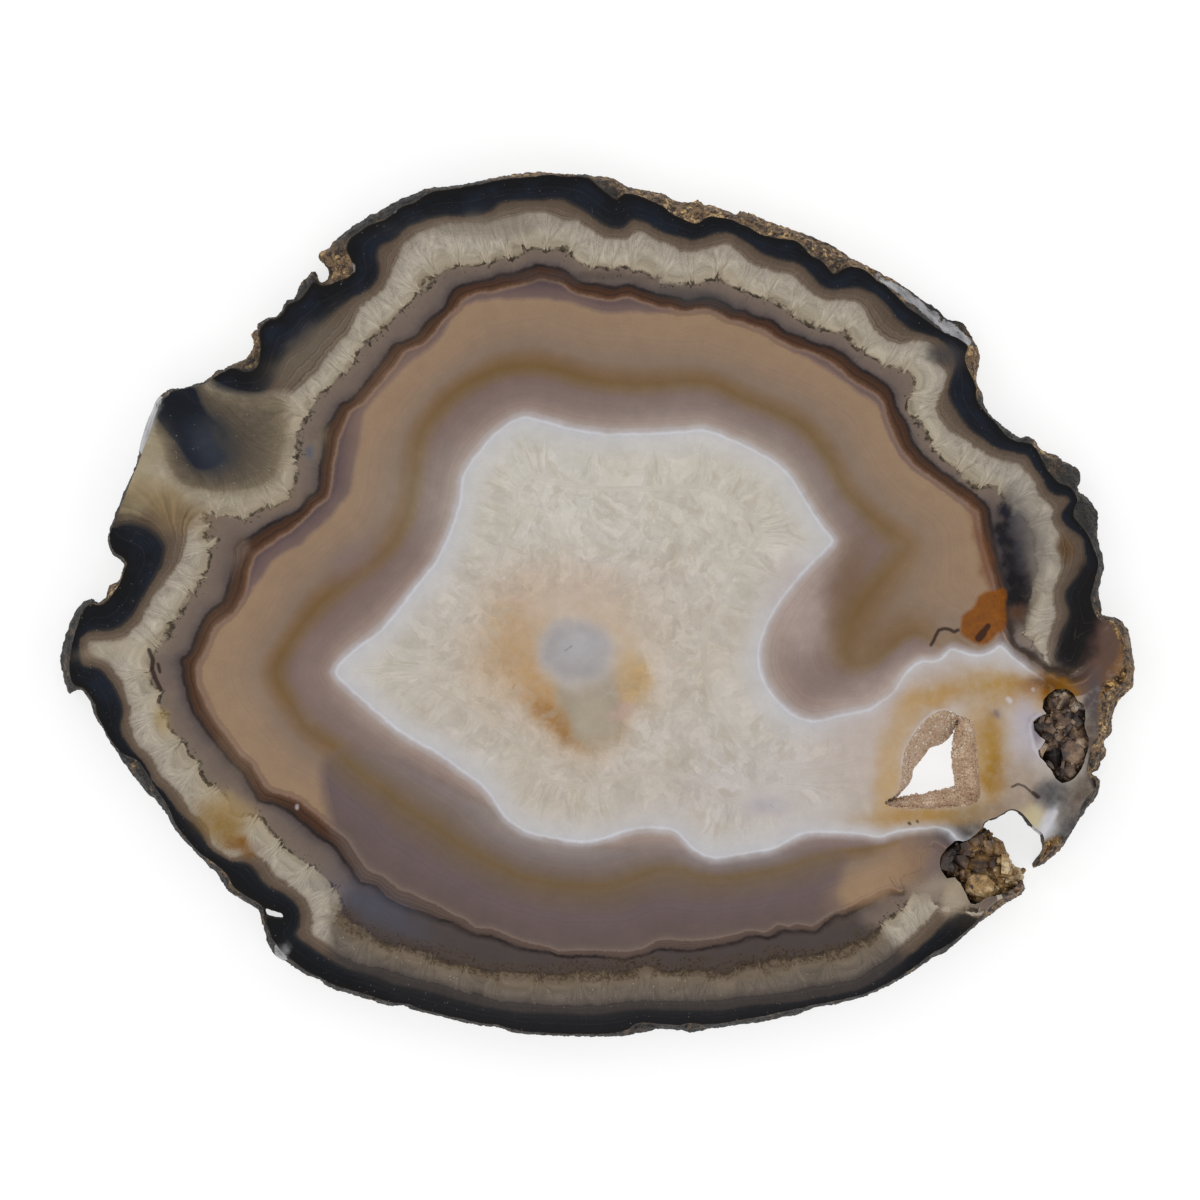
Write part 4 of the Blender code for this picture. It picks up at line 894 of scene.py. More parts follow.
    def bump(self, height, distance, strength=1.0, normal=None):
        made = self.node("ShaderNodeBump")
        self.feed(made.inputs["Strength"], strength)
        self.feed(made.inputs["Distance"], distance)
        self.feed(made.inputs["Height"], height)
        self.feed(made.inputs["Normal"], normal)
        return made.outputs["Normal"]

    def finish(self, colour, roughness, normal=None, specular=0.5):
        self.feed(self.surface.inputs["Base Color"], colour)
        self.feed(self.surface.inputs["Roughness"], roughness)
        self.feed(self.surface.inputs["Normal"], normal)
        self.feed(self.surface.inputs["IOR"], 1.54)
        self.feed(self.surface.inputs["Specular IOR Level"], specular)
        return self.material


def bands(look, stops):
    return [((level - 1) / 7, colour) for level, colour in stops]


def polished_agate():
    look = Look("polished_agate")
    m = look.math

    def swing(noise, reach):
        return m("MULTIPLY", m("SUBTRACT", noise, 0.5), reach)

    # Slow wandering and fine raggedness of every band edge, in pixels.
    wander = swing(look.noise(0.55, detail=3), 3.4)
    ragged = swing(look.noise(2.6, detail=4, roughness=0.6), 3.0)
    warp = m("ADD", wander, ragged)
    flow = look.direction("flow")
    core_flow = look.direction("core_flow")
    in_tail = look.span(look.east(), 31, 38)

    # Columns of quartz stand across the outer band and end inwards in rounded heads.
    heads = look.cells(0.85, look.vector("MULTIPLY", flow, (1.0, 1.0, 0.6)))
    bulge = m("SUBTRACT", m("MULTIPLY", m("SUBTRACT", 0.5, heads), 11), 1.5)
    depths = [m("ADD", look.value(name), warp) for name in EDGE_NAMES]
    depths[0] = look.value("rim")
    depths[3] = m("SUBTRACT", depths[3], bulge)
    depths[2] = m("ADD", depths[2], swing(look.noise(1.0, look.vector("MULTIPLY", flow, (1.0, 1.0, 0.2))), 7))
    depths[7] = m("ADD", look.value("core"), swing(look.noise(0.9, detail=2), 2.2))
    level = None
    for outer, inner in zip(depths, depths[1:]):
        width = m("MAXIMUM", m("SUBTRACT", outer, inner), 0.4)
        share = m("DIVIDE", outer, width, clamp=True)
        level = share if level is None else m("ADD", level, share)
    # Fine parallel banding.
    fine = look.noise(1.0, look.combined(m("MULTIPLY", level, 26), m("MULTIPLY", warp, 0.12), 0.0), detail=2)
    place = m("DIVIDE", m("ADD", level, swing(fine, 0.10)), 7)
    upper = look.ramp(place, bands(look, UPPER_BANDS))
    lower = look.ramp(place, bands(look, LOWER_BANDS))
    low_share = look.span(m("ADD", look.value("lower"), m("MULTIPLY", wander, 1.8)), -7, 7)
    colour = look.mix(low_share, upper, lower)
    # A mauve fringe between the red band and the peach one.
    fringe = m(
        "MULTIPLY",
        look.span(m("ADD", look.value("peach"), warp), 2.5, -2.5),
        look.span(depths[5], 0.5, 2.5),
    )
    fringe_colour = look.mix(look.span(look.value("peach"), -16, 0), (88, 73, 75), (118, 99, 93))
    colour = look.mix(m("MULTIPLY", fringe, m("SUBTRACT", 1.0, low_share)), colour, fringe_colour)
    # Thin lines that the ramps would blur: dark before the red band, pale after it.
    line = look.span(m("ABSOLUTE", m("ADD", depths[4], 0.6)), 2.2, 0.7)
    line_share = look.span(look.noise(0.5, detail=3), 0.35, 0.6, 0.25, 0.85)
    colour = look.mix(m("MULTIPLY", line, line_share), colour, (32, 26, 26))
    pale = look.span(m("ABSOLUTE", m("SUBTRACT", depths[5], 0.8)), 1.5, 0.3)
    colour = look.mix(m("MULTIPLY", pale, 0.12), colour, (156, 132, 116))

    # The navy eye of the upper left lobe: dark, then grey brown, then the pale ring round it.
    eye = m("ADD", look.value("eye"), m("MULTIPLY", warp, 0.8))
    away = m("MAXIMUM", m("MULTIPLY", eye, -1.0), 0.0)
    ring = m("ADD", look.value("halo"), m("MULTIPLY", warp, 1.2))
    halo_place = m("DIVIDE", away, m("ADD", m("ADD", away, m("MAXIMUM", ring, 0.0)), 0.1))
    halo = look.ramp(
        halo_place,
        (
            (0.00, (24, 28, 38)), (0.04, (38, 40, 46)), (0.16, (68, 63, 58)), (0.40, (84, 75, 65)),
            (0.70, (98, 88, 75)), (0.90, (116, 105, 89)), (1.00, (132, 121, 103)),
        ),
    )
    halo = look.mix(look.span(ring, 3, -9), halo, (168, 158, 142))
    halo = look.mix(look.span(eye, -2, 8), halo, (20, 24, 34))
    lobe = m("MULTIPLY", look.span(look.value("lobe"), -7, 7), look.span(depths[3], 2, -2))
    colour = look.mix(lobe, colour, halo)

    # Fibres and sparkle of the quartz, and dark cracks round its heads.
    in_quartz = m("MULTIPLY", look.span(m("MAXIMUM", depths[2], m("MULTIPLY", lobe, 4)), -3, 6), look.span(depths[3], 2, -2))
    fibre = look.noise(2.4, look.vector("MULTIPLY", flow, (1.0, 1.0, 0.2)), detail=5, roughness=0.75)
    needles = look.noise(6.0, look.vector("MULTIPLY", flow, (1.0, 1.0, 0.16)), detail=2)
    sparkle = look.noise(8.0, detail=3, roughness=0.8)
    fibre_shade = m("ADD", look.span(fibre, 0.36, 0.64, 0.74, 1.24), m("ADD", swing(sparkle, 1.1), swing(needles, 0.45)))
    colour = look.shaded(colour, look.mix_value(in_quartz, 1.0, fibre_shade))
    gate = look.span(look.noise(0.7, detail=3, roughness=0.6), 0.42, 0.56)
    crack_width = look.span(look.noise(1.9, detail=3), 0.35, 0.65, 0.5, 3.0)
    crack = look.span(m("SUBTRACT", m("ABSOLUTE", depths[3]), crack_width), 0.7, -0.5)
    colour = look.mix(m("MULTIPLY", m("MULTIPLY", crack, gate), 0.92), colour, (28, 23, 22))
    seam = look.cells(0.66, look.vector("MULTIPLY", flow, (1.0, 1.0, 0.22)), feature="DISTANCE_TO_EDGE")
    seam_share = m("MULTIPLY", look.span(seam, 0.07, 0.0), look.span(depths[3], -24, -3))
    seam_share = m("MULTIPLY", m("MULTIPLY", seam_share, in_quartz), 0.35)
    colour = look.mix(seam_share, colour, (70, 60, 52))
    tips = m("MULTIPLY", look.span(depths[3], -26, -3), in_quartz)
    colour = look.mix(m("MULTIPLY", tips, 0.2), colour, (150, 130, 96))
    glints = m("MULTIPLY", look.span(look.cells(1.5), 0.14, 0.08), look.span(look.noise(0.8, detail=3), 0.46, 0.62))
    colour = look.mix(m("MULTIPLY", m("MULTIPLY", glints, in_quartz), 0.6), colour, (206, 202, 192))
    # A brown speckled crust between quartz and chalcedony on the lower half.
    crust = m("MULTIPLY", look.span(m("ABSOLUTE", m("SUBTRACT", depths[3], 2.0)), 12, 7), low_share)
    speckled = look.noise(2.4, detail=4, roughness=0.8)
    crust = m("MULTIPLY", crust, look.span(speckled, 0.43, 0.53))
    crust_colour = look.mix(look.span(speckled, 0.52, 0.62), (84, 68, 54), (40, 32, 28))
    colour = look.mix(m("MULTIPLY", crust, 0.75), colour, crust_colour)
    # Dark little holes between the quartz heads and the chalcedony.
    beside = look.span(m("ABSOLUTE", m("SUBTRACT", depths[3], 2.5)), 7.0, 2.0)
    dots = look.cells(1.7)
    holes = m("MULTIPLY", look.span(dots, 0.30, 0.16), look.span(look.noise(0.45, detail=3), 0.48, 0.56))
    colour = look.mix(m("MULTIPLY", m("MULTIPLY", beside, holes), 0.8), colour, (44, 34, 28))
    # A blue cast in the black outer band.
    black = m("MULTIPLY", look.span(depths[1], 1, -4), look.span(look.value("rim"), 3, 9))
    cast = m("MULTIPLY", look.span(look.noise(0.2, detail=2), 0.42, 0.62), look.span(look.value("lower"), -110, -190))
    colour = look.mix(m("MULTIPLY", black, m("MULTIPLY", cast, 0.6)), colour, (26, 33, 46))

    # The pale core: smooth at its edge, crystal blades farther in, and clouds.
    core_depth = depths[7]
    # Each patch of crystals points its own way.
    shifted = look.vector("ADD", look.place, look.push(0.5, 2.6))
    patch_turn = m("MULTIPLY", look.grey(look.cells(0.22, shifted, output="Color")), 6.28)
    inner = look.vector("MULTIPLY", look.turned(shifted, patch_turn), (1.0, 0.34, 1.0))
    outer = look.vector("ADD", look.vector("MULTIPLY", core_flow, (1.0, 1.0, 0.34)), look.push(0.5, 1.5))
    blades = look.mix_vector(look.span(core_depth, 52, 58), outer, inner)
    blade = look.cells(0.75, blades, output="Color")
    splinter = look.cells(1.9, blades, output="Color")
    fibres = look.noise(1.9, blades, detail=4, roughness=0.7)
    cloud = look.noise(0.13, detail=4, roughness=0.6, distortion=0.6)
    core = look.mix(look.span(cloud, 0.35, 0.68), (190, 183, 172), (206, 201, 195))
    calm = m("MAXIMUM", in_tail, look.value("calm"))
    crystal_zone = m("MULTIPLY", look.span(core_depth, 10, 30), m("SUBTRACT", 1.0, m("MULTIPLY", calm, 0.85)))
    crystal_shade = m(
        "ADD",
        m("ADD", swing(look.grey(blade), 0.13), swing(look.grey(splinter), 0.10)),
        swing(fibres, 0.20),
    )
    crystal_shade = m("ADD", 1.0, m("MULTIPLY", crystal_zone, crystal_shade))
    core = look.mix(look.span(core_depth, 8, 30, 0.85, 0.0), core, (197, 196, 198))
    colour = look.mix(look.span(core_depth, -0.8, 0.8), colour, core)

    # Stains and a few painted highlights on chip facets, a little broken up.
    stain_and_highlight = look.node("ShaderNodeAttribute", attribute_name="stain_and_highlight")
    broken = m("ADD", 1.0, swing(look.noise(0.7, detail=4, roughness=0.65), 0.7))
    stain_and_highlight_share = m("MULTIPLY", stain_and_highlight.outputs["Alpha"], broken, clamp=True)
    colour = look.mix(stain_and_highlight_share, colour, stain_and_highlight.outputs["Color"])
    colour = look.shaded(colour, look.mix_value(look.span(core_depth, 0, 2), 1.0, crystal_shade))
    dusky = m("MULTIPLY", look.span(look.noise(0.55, blades, detail=4), 0.53, 0.64), crystal_zone)
    colour = look.mix(m("MULTIPLY", dusky, 0.42), colour, (176, 165, 149))

    # A blue white glow round the core and a thin bright line on its edge.
    glow_reach = look.span(look.noise(0.3, detail=3), 0.3, 0.65, 0.35, 0.9)
    glow_reach = m("MULTIPLY", glow_reach, look.span(look.east(), 62.5, 58))
    glow = m("MULTIPLY", look.span(core_depth, -9, -0.5), look.span(core_depth, 12, 0))
    colour = look.mix(m("MULTIPLY", m("POWER", glow, 1.6), glow_reach), colour, GLOW)
    rim_light = look.span(m("ABSOLUTE", m("SUBTRACT", core_depth, 0.6)), 1.9, 0.2)
    colour = look.mix(m("MULTIPLY", rim_light, m("MULTIPLY", glow_reach, 0.6)), colour, (216, 218, 224))

    # The orange patch, the small dark marks, the pale strokes of painted highlight and the rough ground of the outer
    # right edge.
    orange = look.span(m("ADD", look.value("orange"), m("MULTIPLY", ragged, 0.8)), -2.0, 2.0)
    orange_colour = look.mix(look.noise(1.4, detail=4), (96, 58, 30), (150, 92, 44))
    colour = look.mix(m("MULTIPLY", orange, 0.92), colour, orange_colour)
    marks = m("ADD", look.value("dark"), m("MULTIPLY", ragged, 0.3))
    colour = look.mix(look.span(marks, -0.8, 0.8, 0, 0.86), colour, (40, 26, 24))
    # Painted highlight: the pale strokes of reflected light along rims and chip edges.
    colour = look.mix(look.span(look.value("light"), -2.2, 1.4, 0, 0.8), colour, (206, 203, 207))
    rocky = look.span(m("ADD", look.value("rocky"), m("MULTIPLY", ragged, 1.4)), -2.5, 2.0)
    colour = look.mix(rocky, colour, rock_colour(look))

    # Clouding, grain and the fine banding's tone.
    clouding = look.span(look.noise(0.42, detail=4, roughness=0.6), 0.3, 0.7, 0.95, 1.05)
    grain = look.span(look.noise(7.0, detail=3, roughness=0.7), 0.25, 0.75, 0.91, 1.09)
    laminate = look.noise(1.0, look.combined(m("MULTIPLY", level, 13), m("MULTIPLY", warp, 0.1), 3.0), detail=2)
    outer_band = m("MULTIPLY", look.span(level, 0.1, 0.3), look.span(level, 2.02, 1.9))
    red_band = m("MULTIPLY", look.span(level, 3.9, 4.1), look.span(level, 5.05, 4.95))
    layered = m("MULTIPLY", m("ADD", outer_band, red_band), swing(laminate, 2.0))
    layered = m("MULTIPLY", layered, m("SUBTRACT", 1.0, lobe))
    lines = m("ADD", look.span(fine, 0.3, 0.7, 0.95, 1.05), layered)
    seams = m("MULTIPLY", look.span(laminate, 0.54, 0.66), m("MULTIPLY", look.span(level, 0.4, 0.85), look.span(level, 1.2, 1.0)))
    colour = look.mix(m("MULTIPLY", seams, 0.8), colour, (80, 67, 56))
    colour = look.shaded(colour, m("MULTIPLY", m("MULTIPLY", clouding, grain), lines))
    # The polish deepens the colours a little.
    rich = look.node("ShaderNodeHueSaturation")
    rich.inputs["Saturation"].default_value = 1.1
    rich.inputs["Value"].default_value = 0.975
    look.feed(rich.inputs["Color"], colour)
    colour = rich.outputs["Color"]
    # Dark specks of the sawn face.
    specks = look.span(dots, 0.045, 0.09, 0.30, 0.0)
    colour = look.mix(specks, colour, (60, 50, 46))
    roughness = look.mix_value(rocky, look.span(look.noise(1.2, detail=4), 0.3, 0.7, 0.20, 0.32), 0.7)
    # The height is worked out three times a sample, so it takes its own plain mask and few octaves.
    rugged = m("MULTIPLY", look.span(look.value("rocky"), -2.5, 2.0), look.noise(1.5, detail=3, roughness=0.75))
    height = m("ADD", m("MULTIPLY", grain, 0.5), m("MULTIPLY", rugged, 9))
    return look.finish(colour, roughness, look.bump(height, 0.00003, 0.35), specular=0.15)


def rock_colour(look):
    """Natural crust: near black and grey, and in places brown with golden grains."""
    m = look.math
    lumps = look.noise(1.1, detail=5, roughness=0.75, distortion=0.6)
    grit = look.noise(4.2, detail=4, roughness=0.8)
    brown = look.ramp(
        lumps,
        (
            (0.36, (20, 15, 12)), (0.44, (52, 37, 26)), (0.50, (100, 74, 48)), (0.55, (152, 122, 86)),
            (0.60, (62, 45, 32)), (0.67, (172, 148, 116)), (0.76, (98, 74, 50)),
        ),
    )
    dark = look.ramp(
        lumps,
        ((0.36, (10, 9, 9)), (0.50, (24, 22, 21)), (0.57, (52, 45, 39)), (0.62, (28, 25, 23)), (0.72, (84, 75, 66))),
    )
    rich = m("ADD", look.value("golden"), m("MULTIPLY", m("SUBTRACT", look.noise(0.35, detail=5, roughness=0.65), 0.5), 3.2))
    rich = look.span(rich, 0.1, 0.9)
    colour = look.mix(rich, dark, brown)
    grain = look.grey(look.cells(2.2, output="Color"))
    golden = m("MULTIPLY", look.span(grain, 0.66, 0.8), look.span(look.noise(0.6, detail=3), 0.44, 0.6))
    colour = look.mix(m("MULTIPLY", m("MULTIPLY", golden, rich), 0.85), colour, (206, 172, 118))
    return look.shaded(colour, look.span(grit, 0.34, 0.66, 0.45, 1.5))


def rough_rind():
    look = Look("rough_rind")
    m = look.math
    lumps = look.noise(0.9, detail=6, roughness=0.65, distortion=0.4)
    grit = look.noise(4.5, detail=4, roughness=0.7)
    # Glassy broken chalcedony on the chips; its pale grey is partly the chips' own colour and partly painted
    # reflection of the lamps.
    broken = m("MULTIPLY", m("SUBTRACT", look.noise(0.55, detail=5, roughness=0.6), 0.5), 3.0)
    glass = look.span(m("ADD", look.value("glassy"), m("MULTIPLY", broken, look.span(look.value("glassy"), 0.0, 0.3))), 0.45, 0.65)
    chip_grey_and_reflection = look.mix(look.span(look.noise(0.35, detail=4, roughness=0.6), 0.3, 0.55), (76, 76, 80), (150, 150, 153))
    colour = look.mix(glass, rock_colour(look), chip_grey_and_reflection)
    roughness = look.mix_value(glass, look.span(lumps, 0.3, 0.7, 0.75, 0.5), 0.16)
    strength = look.mix_value(glass, 1.0, 0.12)
    height = m("ADD", m("MULTIPLY", lumps, 0.6), m("MULTIPLY", grit, 0.4))
    return look.finish(colour, roughness, look.bump(height, 0.0004, strength))


def cavity_wall():
    look = Look("cavity_wall")
    lumps = look.noise(1.4, detail=5, roughness=0.65)
    colour = look.ramp(lumps, ((0.3, (176, 146, 118)), (0.5, (196, 168, 142)), (0.7, (212, 194, 176))))
    colour = look.shaded(colour, look.span(look.noise(6.0, detail=3), 0.3, 0.7, 0.85, 1.1))
    return look.finish(colour, look.span(lumps, 0.3, 0.7, 0.5, 0.3), look.bump(lumps, 0.00015, 0.6))


def crystal(name, stops, roughness, blotch_colour):
    """Crystals whose colour comes from each one's tone, with blotches of a second colour laid over them by noise."""
    look = Look(name)
    m = look.math
    patches = m("SUBTRACT", look.noise(0.45, detail=4, roughness=0.6), 0.5)
    tone = m("ADD", look.value("tone"), m("MULTIPLY", patches, 1.7), clamp=True)
    colour = look.ramp(tone, stops)
    frost = look.noise(6.0, detail=3, roughness=0.7)
    colour = look.shaded(colour, look.span(frost, 0.35, 0.65, 0.78, 1.22))
    blotches = look.span(look.noise(1.3, detail=5, roughness=0.7), 0.54, 0.64)
    colour = look.mix(m("MULTIPLY", blotches, 0.6), colour, blotch_colour)
    rough = look.span(frost, 0.3, 0.7, roughness, roughness + 0.25)
    return look.finish(colour, rough, look.bump(frost, 0.00006, 0.4), specular=0.4)


def ground():
    look = Look("pale_floor")
    tone = look.span(look.noise(0.02, detail=2), 0.3, 0.7, 0.985, 1.0)
    look.feed(look.surface.inputs["Emission Color"], (1.0, 1.0, 1.0, 1.0))
    look.feed(look.surface.inputs["Emission Strength"], FLOOR_GLOW)
    return look.finish(look.shaded((0.3, 0.3, 0.3), tone), 0.9, specular=0.1)


EDGE_NAMES = ("rim", "black", "brown", "quartz", "line", "red", "olive", "core")
EDGES = (BLACK_EDGE, BROWN_EDGE, QUARTZ_EDGE, BLACK_LINE, RED_EDGE, OLIVE_LINE, CORE_EDGE)
GLASSY_CHIPS = ((150, 424, 10, 30, 18), (281, 952, 8, 10, 0), (1046, 818, 12, 20, 28))
GLASSY_STRIP = (((880, 272), (916, 299), (946, 324), (967, 341)), 6.5)
STRIP_FLOOR = 0.0026
CALM_CORE = ((572, 648, 74, 62, 0), (590, 700, 34, 46, -18), (770, 802, 40, 20, 0))
GOLDEN_RIND = (
    (720, 212, 160, 46, 24), (335, 262, 26, 26, 0), (120, 584, 26, 24, 0), (1052, 446, 26, 14, 30),
    (1118, 700, 46, 120, 0), (974, 362, 14, 40, 0), (1010, 885, 50, 40, 0), (860, 268, 70, 16, 32),
    (520, 172, 60, 6, 0), (240, 340, 30, 30, 0), (1052, 852, 18, 22, 0), (246, 880, 60, 14, 40),
)
CAVITY_BOX = (880, 700, 988, 815)


def put_value(mesh, name, values):
    mesh.attributes.new(name, "FLOAT", "POINT").data.foreach_set("value", np.asarray(values, np.float32))


def put_vector(mesh, name, values):
    mesh.attributes.new(name, "FLOAT_VECTOR", "POINT").data.foreach_set(
        "vector", np.asarray(values, np.float32).ravel()
    )


def soft_zone(spots, ellipses, crisp):
    """From 0 to 1: how far inside the nearest of the ellipses each spot is."""
    found = np.zeros(len(spots))
    for x, y, long, wide, turn in ellipses:
        c, s = math.cos(math.radians(turn)), math.sin(math.radians(turn))
        off = spots - (x, y)
        u, v = (off[:, 0] * c + off[:, 1] * s) / long, (off[:, 1] * c - off[:, 0] * s) / wide
        found = np.maximum(found, np.clip(crisp * (1.1 - np.hypot(u, v)), 0, 1))
    return found


def roughen(points, faces, wall_count, glassy):
    """Moves the wall's points inwards by noise, and leaves those on the two faces."""
    corners = points[faces]
    normal = np.cross(corners[:, 1] - corners[:, 0], corners[:, 2] - corners[:, 0])
    turned = np.zeros_like(points)
    for k in range(3):
        np.add.at(turned, faces[:, k], normal)
    turned /= np.maximum(np.linalg.norm(turned, axis=1, keepdims=True), 1e-15)
    height = points[:wall_count, 2]
    for i in range(wall_count):
        room = min(height[i], TOP - height[i])
        spot = Vector(points[i]) * 1000
        lump = noise.fractal(spot * 0.9, 0.9, 2.1, 4)
        grit = noise.fractal(spot * 3.1 + Vector((7, 3, 1)), 0.8, 2.1, 3)
        push = (0.00018 + 0.00018 * lump + 0.00015 * grit) * (1 - 0.9 * glassy[i])
        if room < 2e-5:
            # A point on a sawn face moves only along that face.
            points[i, :2] -= turned[i, :2] * min(max(push, 0.0), 0.00016)
            continue
        push *= min(1, room / 0.0004 + 0.3)
        points[i] -= turned[i] * min(max(push, 0.0), room * 0.8 + 0.00001)


def banded_slab():
    points, faces, parts, wall_count, loops = slab_mesh(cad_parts["agate_slice"])
    spots = to_pixels(points)
    ends = np.array(loops)
    rim_a, rim_b = spots[ends[:, 0]], spots[ends[:, 1]]
    glassy = soft_zone(spots, GLASSY_CHIPS, 4.0)
    shelf = np.clip((points[:, 2] - STRIP_FLOOR) / 0.0008, 0, 1)
    glassy = np.maximum(glassy, shelf * np.clip(stroke_depth(spots, (GLASSY_STRIP,)) * 0.5, 0, 1))
    roughen(points, np.array(faces), wall_count, glassy)

    mesh = bpy.data.meshes.new("banded_slab")
    mesh.from_pydata(points.tolist(), [], faces)
    put_value(mesh, "rim", nearest(spots, rim_a, rim_b))
    for name, edge in zip(EDGE_NAMES[1:], EDGES):
        put_value(mesh, name, depth_in(spots, edge))
    put_value(mesh, "peach", depth_in(spots, PEACH_EDGE))
    put_value(mesh, "lower", depth_in(spots, LOWER_ZONE))
    put_value(mesh, "eye", depth_in(spots, NAVY_EYE))
    put_value(mesh, "orange", depth_in(spots, ORANGE_PATCH))
    put_value(mesh, "lobe", depth_in(spots, LOBE))
    put_value(mesh, "calm", soft_zone(spots, CALM_CORE, 3.0))
    put_value(mesh, "golden", soft_zone(spots, GOLDEN_RIND, 1.6))
    put_value(mesh, "halo", depth_in(spots, HALO_EDGE))
    put_value(mesh, "rocky", np.maximum(depth_in(spots, RIGHT_CRUST), depth_in(spots, NOTCH_CRUST)))
    put_value(mesh, "dark", stroke_depth(spots, DARK_STROKES))
    put_value(mesh, "light", stroke_depth(spots, PAINTED_HIGHLIGHT_STROKES))
    put_value(mesh, "glassy", glassy)
    for name, edge in (("flow", QUARTZ_EDGE), ("core_flow", CORE_EDGE)):
        depth = depth_in(spots, edge, 1) * MM_PER_PIXEL
        put_vector(mesh, name, np.column_stack([flow_along(spots, edge), depth]))
    stain_and_highlight = mesh.attributes.new("stain_and_highlight", "FLOAT_COLOR", "POINT")
    stain_and_highlight.data.foreach_set("color", stains_and_highlights_at(spots).astype(np.float32).ravel())

    middles = spots[np.array(faces)].mean(1)
    left, top, right, bottom = CAVITY_BOX
    in_cavity = (
        (middles[:, 0] > left) & (middles[:, 0] < right) & (middles[:, 1] > top) & (middles[:, 1] < bottom)
    )
    look_of = np.where(parts == WALL, np.where(in_cavity, 2, 1), 0)
    mesh.polygons.foreach_set("material_index", look_of.astype(np.int32))
    mesh.update()
    for material in (polished_agate(), rough_rind(), cavity_wall()):
        mesh.materials.append(material)
    slab = bpy.data.objects.new("banded_slab", mesh)
    bpy.context.scene.collection.objects.link(slab)
    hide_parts("agate_slice")
    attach(slab, "root")
    return slab, (points, np.array(faces)[look_of == 2])


def tone_at(points, paler):
    """How pale the crystals are at each point, from 0 to 1: it changes steadily across the hollow."""
    east, x, south, y = paler
    spots = to_pixels(points)
    return np.clip(0.45 + east * (spots[:, 0] - x) + south * (spots[:, 1] - y), 0, 1)


def grown(base, faces, chooser, how_many, size, lean, sides, tallest, paler, rng):
    """Little pointed crystals that stand on the triangles: points, faces and each point's tone."""
    corners = base[faces]
    normal = np.cross(corners[:, 1] - corners[:, 0], corners[:, 2] - corners[:, 0])
    area = np.linalg.norm(normal, axis=1)
    normal /= np.maximum(area, 1e-15)[:, None]
    weight = area * chooser(corners.mean(1), normal)
    picks = rng.choice(len(faces), how_many, p=weight / weight.sum())
    points, made, tones = [], [], []
    for pick in picks:
        u, v = rng.random(2)
        if u + v > 1:
            u, v = 1 - u, 1 - v
        a, b, c = corners[pick]
        foot = a + u * (b - a) + v * (c - a)
        axis = normal[pick] + rng.normal(0, lean, 3)
        axis /= np.linalg.norm(axis)
        side = np.cross(axis, (0.3, 0.9, 0.1))
        side /= np.linalg.norm(side)
        other = np.cross(axis, side)
        width = size * math.exp(rng.normal(0, 0.35)) / 2
        tall = width * rng.uniform(0.4, 1) * tallest
        tone = min(max(tone_at(foot[None], paler)[0] + 0.6 * (rng.random() - 0.5), 0.0), 1.0)
        first, turn = len(points), rng.random() * 6.28
        for lift, spread in ((-0.6, 1.0), (0.55, 0.95)):
            for k in range(sides):
                angle = turn + 2 * math.pi * (k + rng.uniform(-0.12, 0.12)) / sides
                across = math.cos(angle) * side + math.sin(angle) * other
                points.append(foot + axis * tall * lift * rng.uniform(0.85, 1.1) + across * width * spread)
        points.append(foot + axis * tall + (side * rng.uniform(-0.3, 0.3) + other * rng.uniform(-0.3, 0.3)) * width)
        tip = first + 2 * sides
        for k in range(sides):
            p, q = first + k, first + (k + 1) % sides
            made += [(p, q, q + sides), (p, q + sides, p + sides), (p + sides, q + sides, tip)]
        tones += [tone] * (2 * sides + 1)
    return np.array(points), np.array(made), tones


def swollen(vert, middle):
    """A point of a crust, moved out to meet its hollow unless it faces the middle."""
    off = Vector(to_pixels([vert.co])[0] - middle) * Vector((1, -1))
    side = vert.normal.xy
    share = min(max(3 * side.dot(off.normalized()), 0), 1) if side.length > 0.05 else 0
    moved = side.normalized() * SWELL * share
    deeper = max(vert.co.z + SWELL * min(vert.normal.z, 0), LOWEST)
    return vert.co.x + moved.x, vert.co.y + moved.y, deeper


def crystal_crust(node_name, piece_name, middle, chooser, growth, paler, material, extra=None):
    """The crust of one hollow: its solid's own shape, swollen to meet the hollow, and crystals over it."""
    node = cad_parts[node_name]
    mesh = bmesh.new()
    mesh.from_mesh(node.data)
    bmesh.ops.remove_doubles(mesh, verts=mesh.verts, dist=1e-7)
    bmesh.ops.triangulate(mesh, faces=mesh.faces)
    mesh.normal_update()
    base = np.array([swollen(v, middle) for v in mesh.verts])
    faces = np.array([[v.index for v in f.verts] for f in mesh.faces])
    mesh.free()
    more = True
    while more:
        base, faces, more = halved(base, faces, 0.0008)
    rng = np.random.default_rng(CRYSTAL_SEED)
    stand_on, stand_faces = base, faces
    if extra is not None:
        stand_on = np.concatenate([base, extra[0]])
        stand_faces = np.concatenate([faces, extra[1] + len(base)])
    points, made, tones = np.empty((0, 3)), np.empty((0, 3), int), []
    for habit in growth:
        more_points, more_faces, more_tones = grown(stand_on, stand_faces, chooser, *habit, paler, rng)
        made = np.concatenate([made, more_faces + len(points)])
        points = np.concatenate([points, more_points])
        tones += more_tones
    low, high = cad_box
    points[:, 2] = np.clip(points[:, 2], LOWEST, TOP - LOWEST)
    points[:, 0] = np.clip(points[:, 0], low[0], high[0])
    crust = bpy.data.meshes.new(piece_name)
    everything = np.concatenate([base, points])
    crust.from_pydata(everything.tolist(), [], faces.tolist() + (made + len(base)).tolist())
    put_value(crust, "tone", tone_at(base, paler).tolist() + tones)
    crust.materials.append(material)
    crust.update()
    piece = bpy.data.objects.new(piece_name, crust)
    bpy.context.scene.collection.objects.link(piece)
    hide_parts(node_name)
    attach(piece, "root")
    return piece


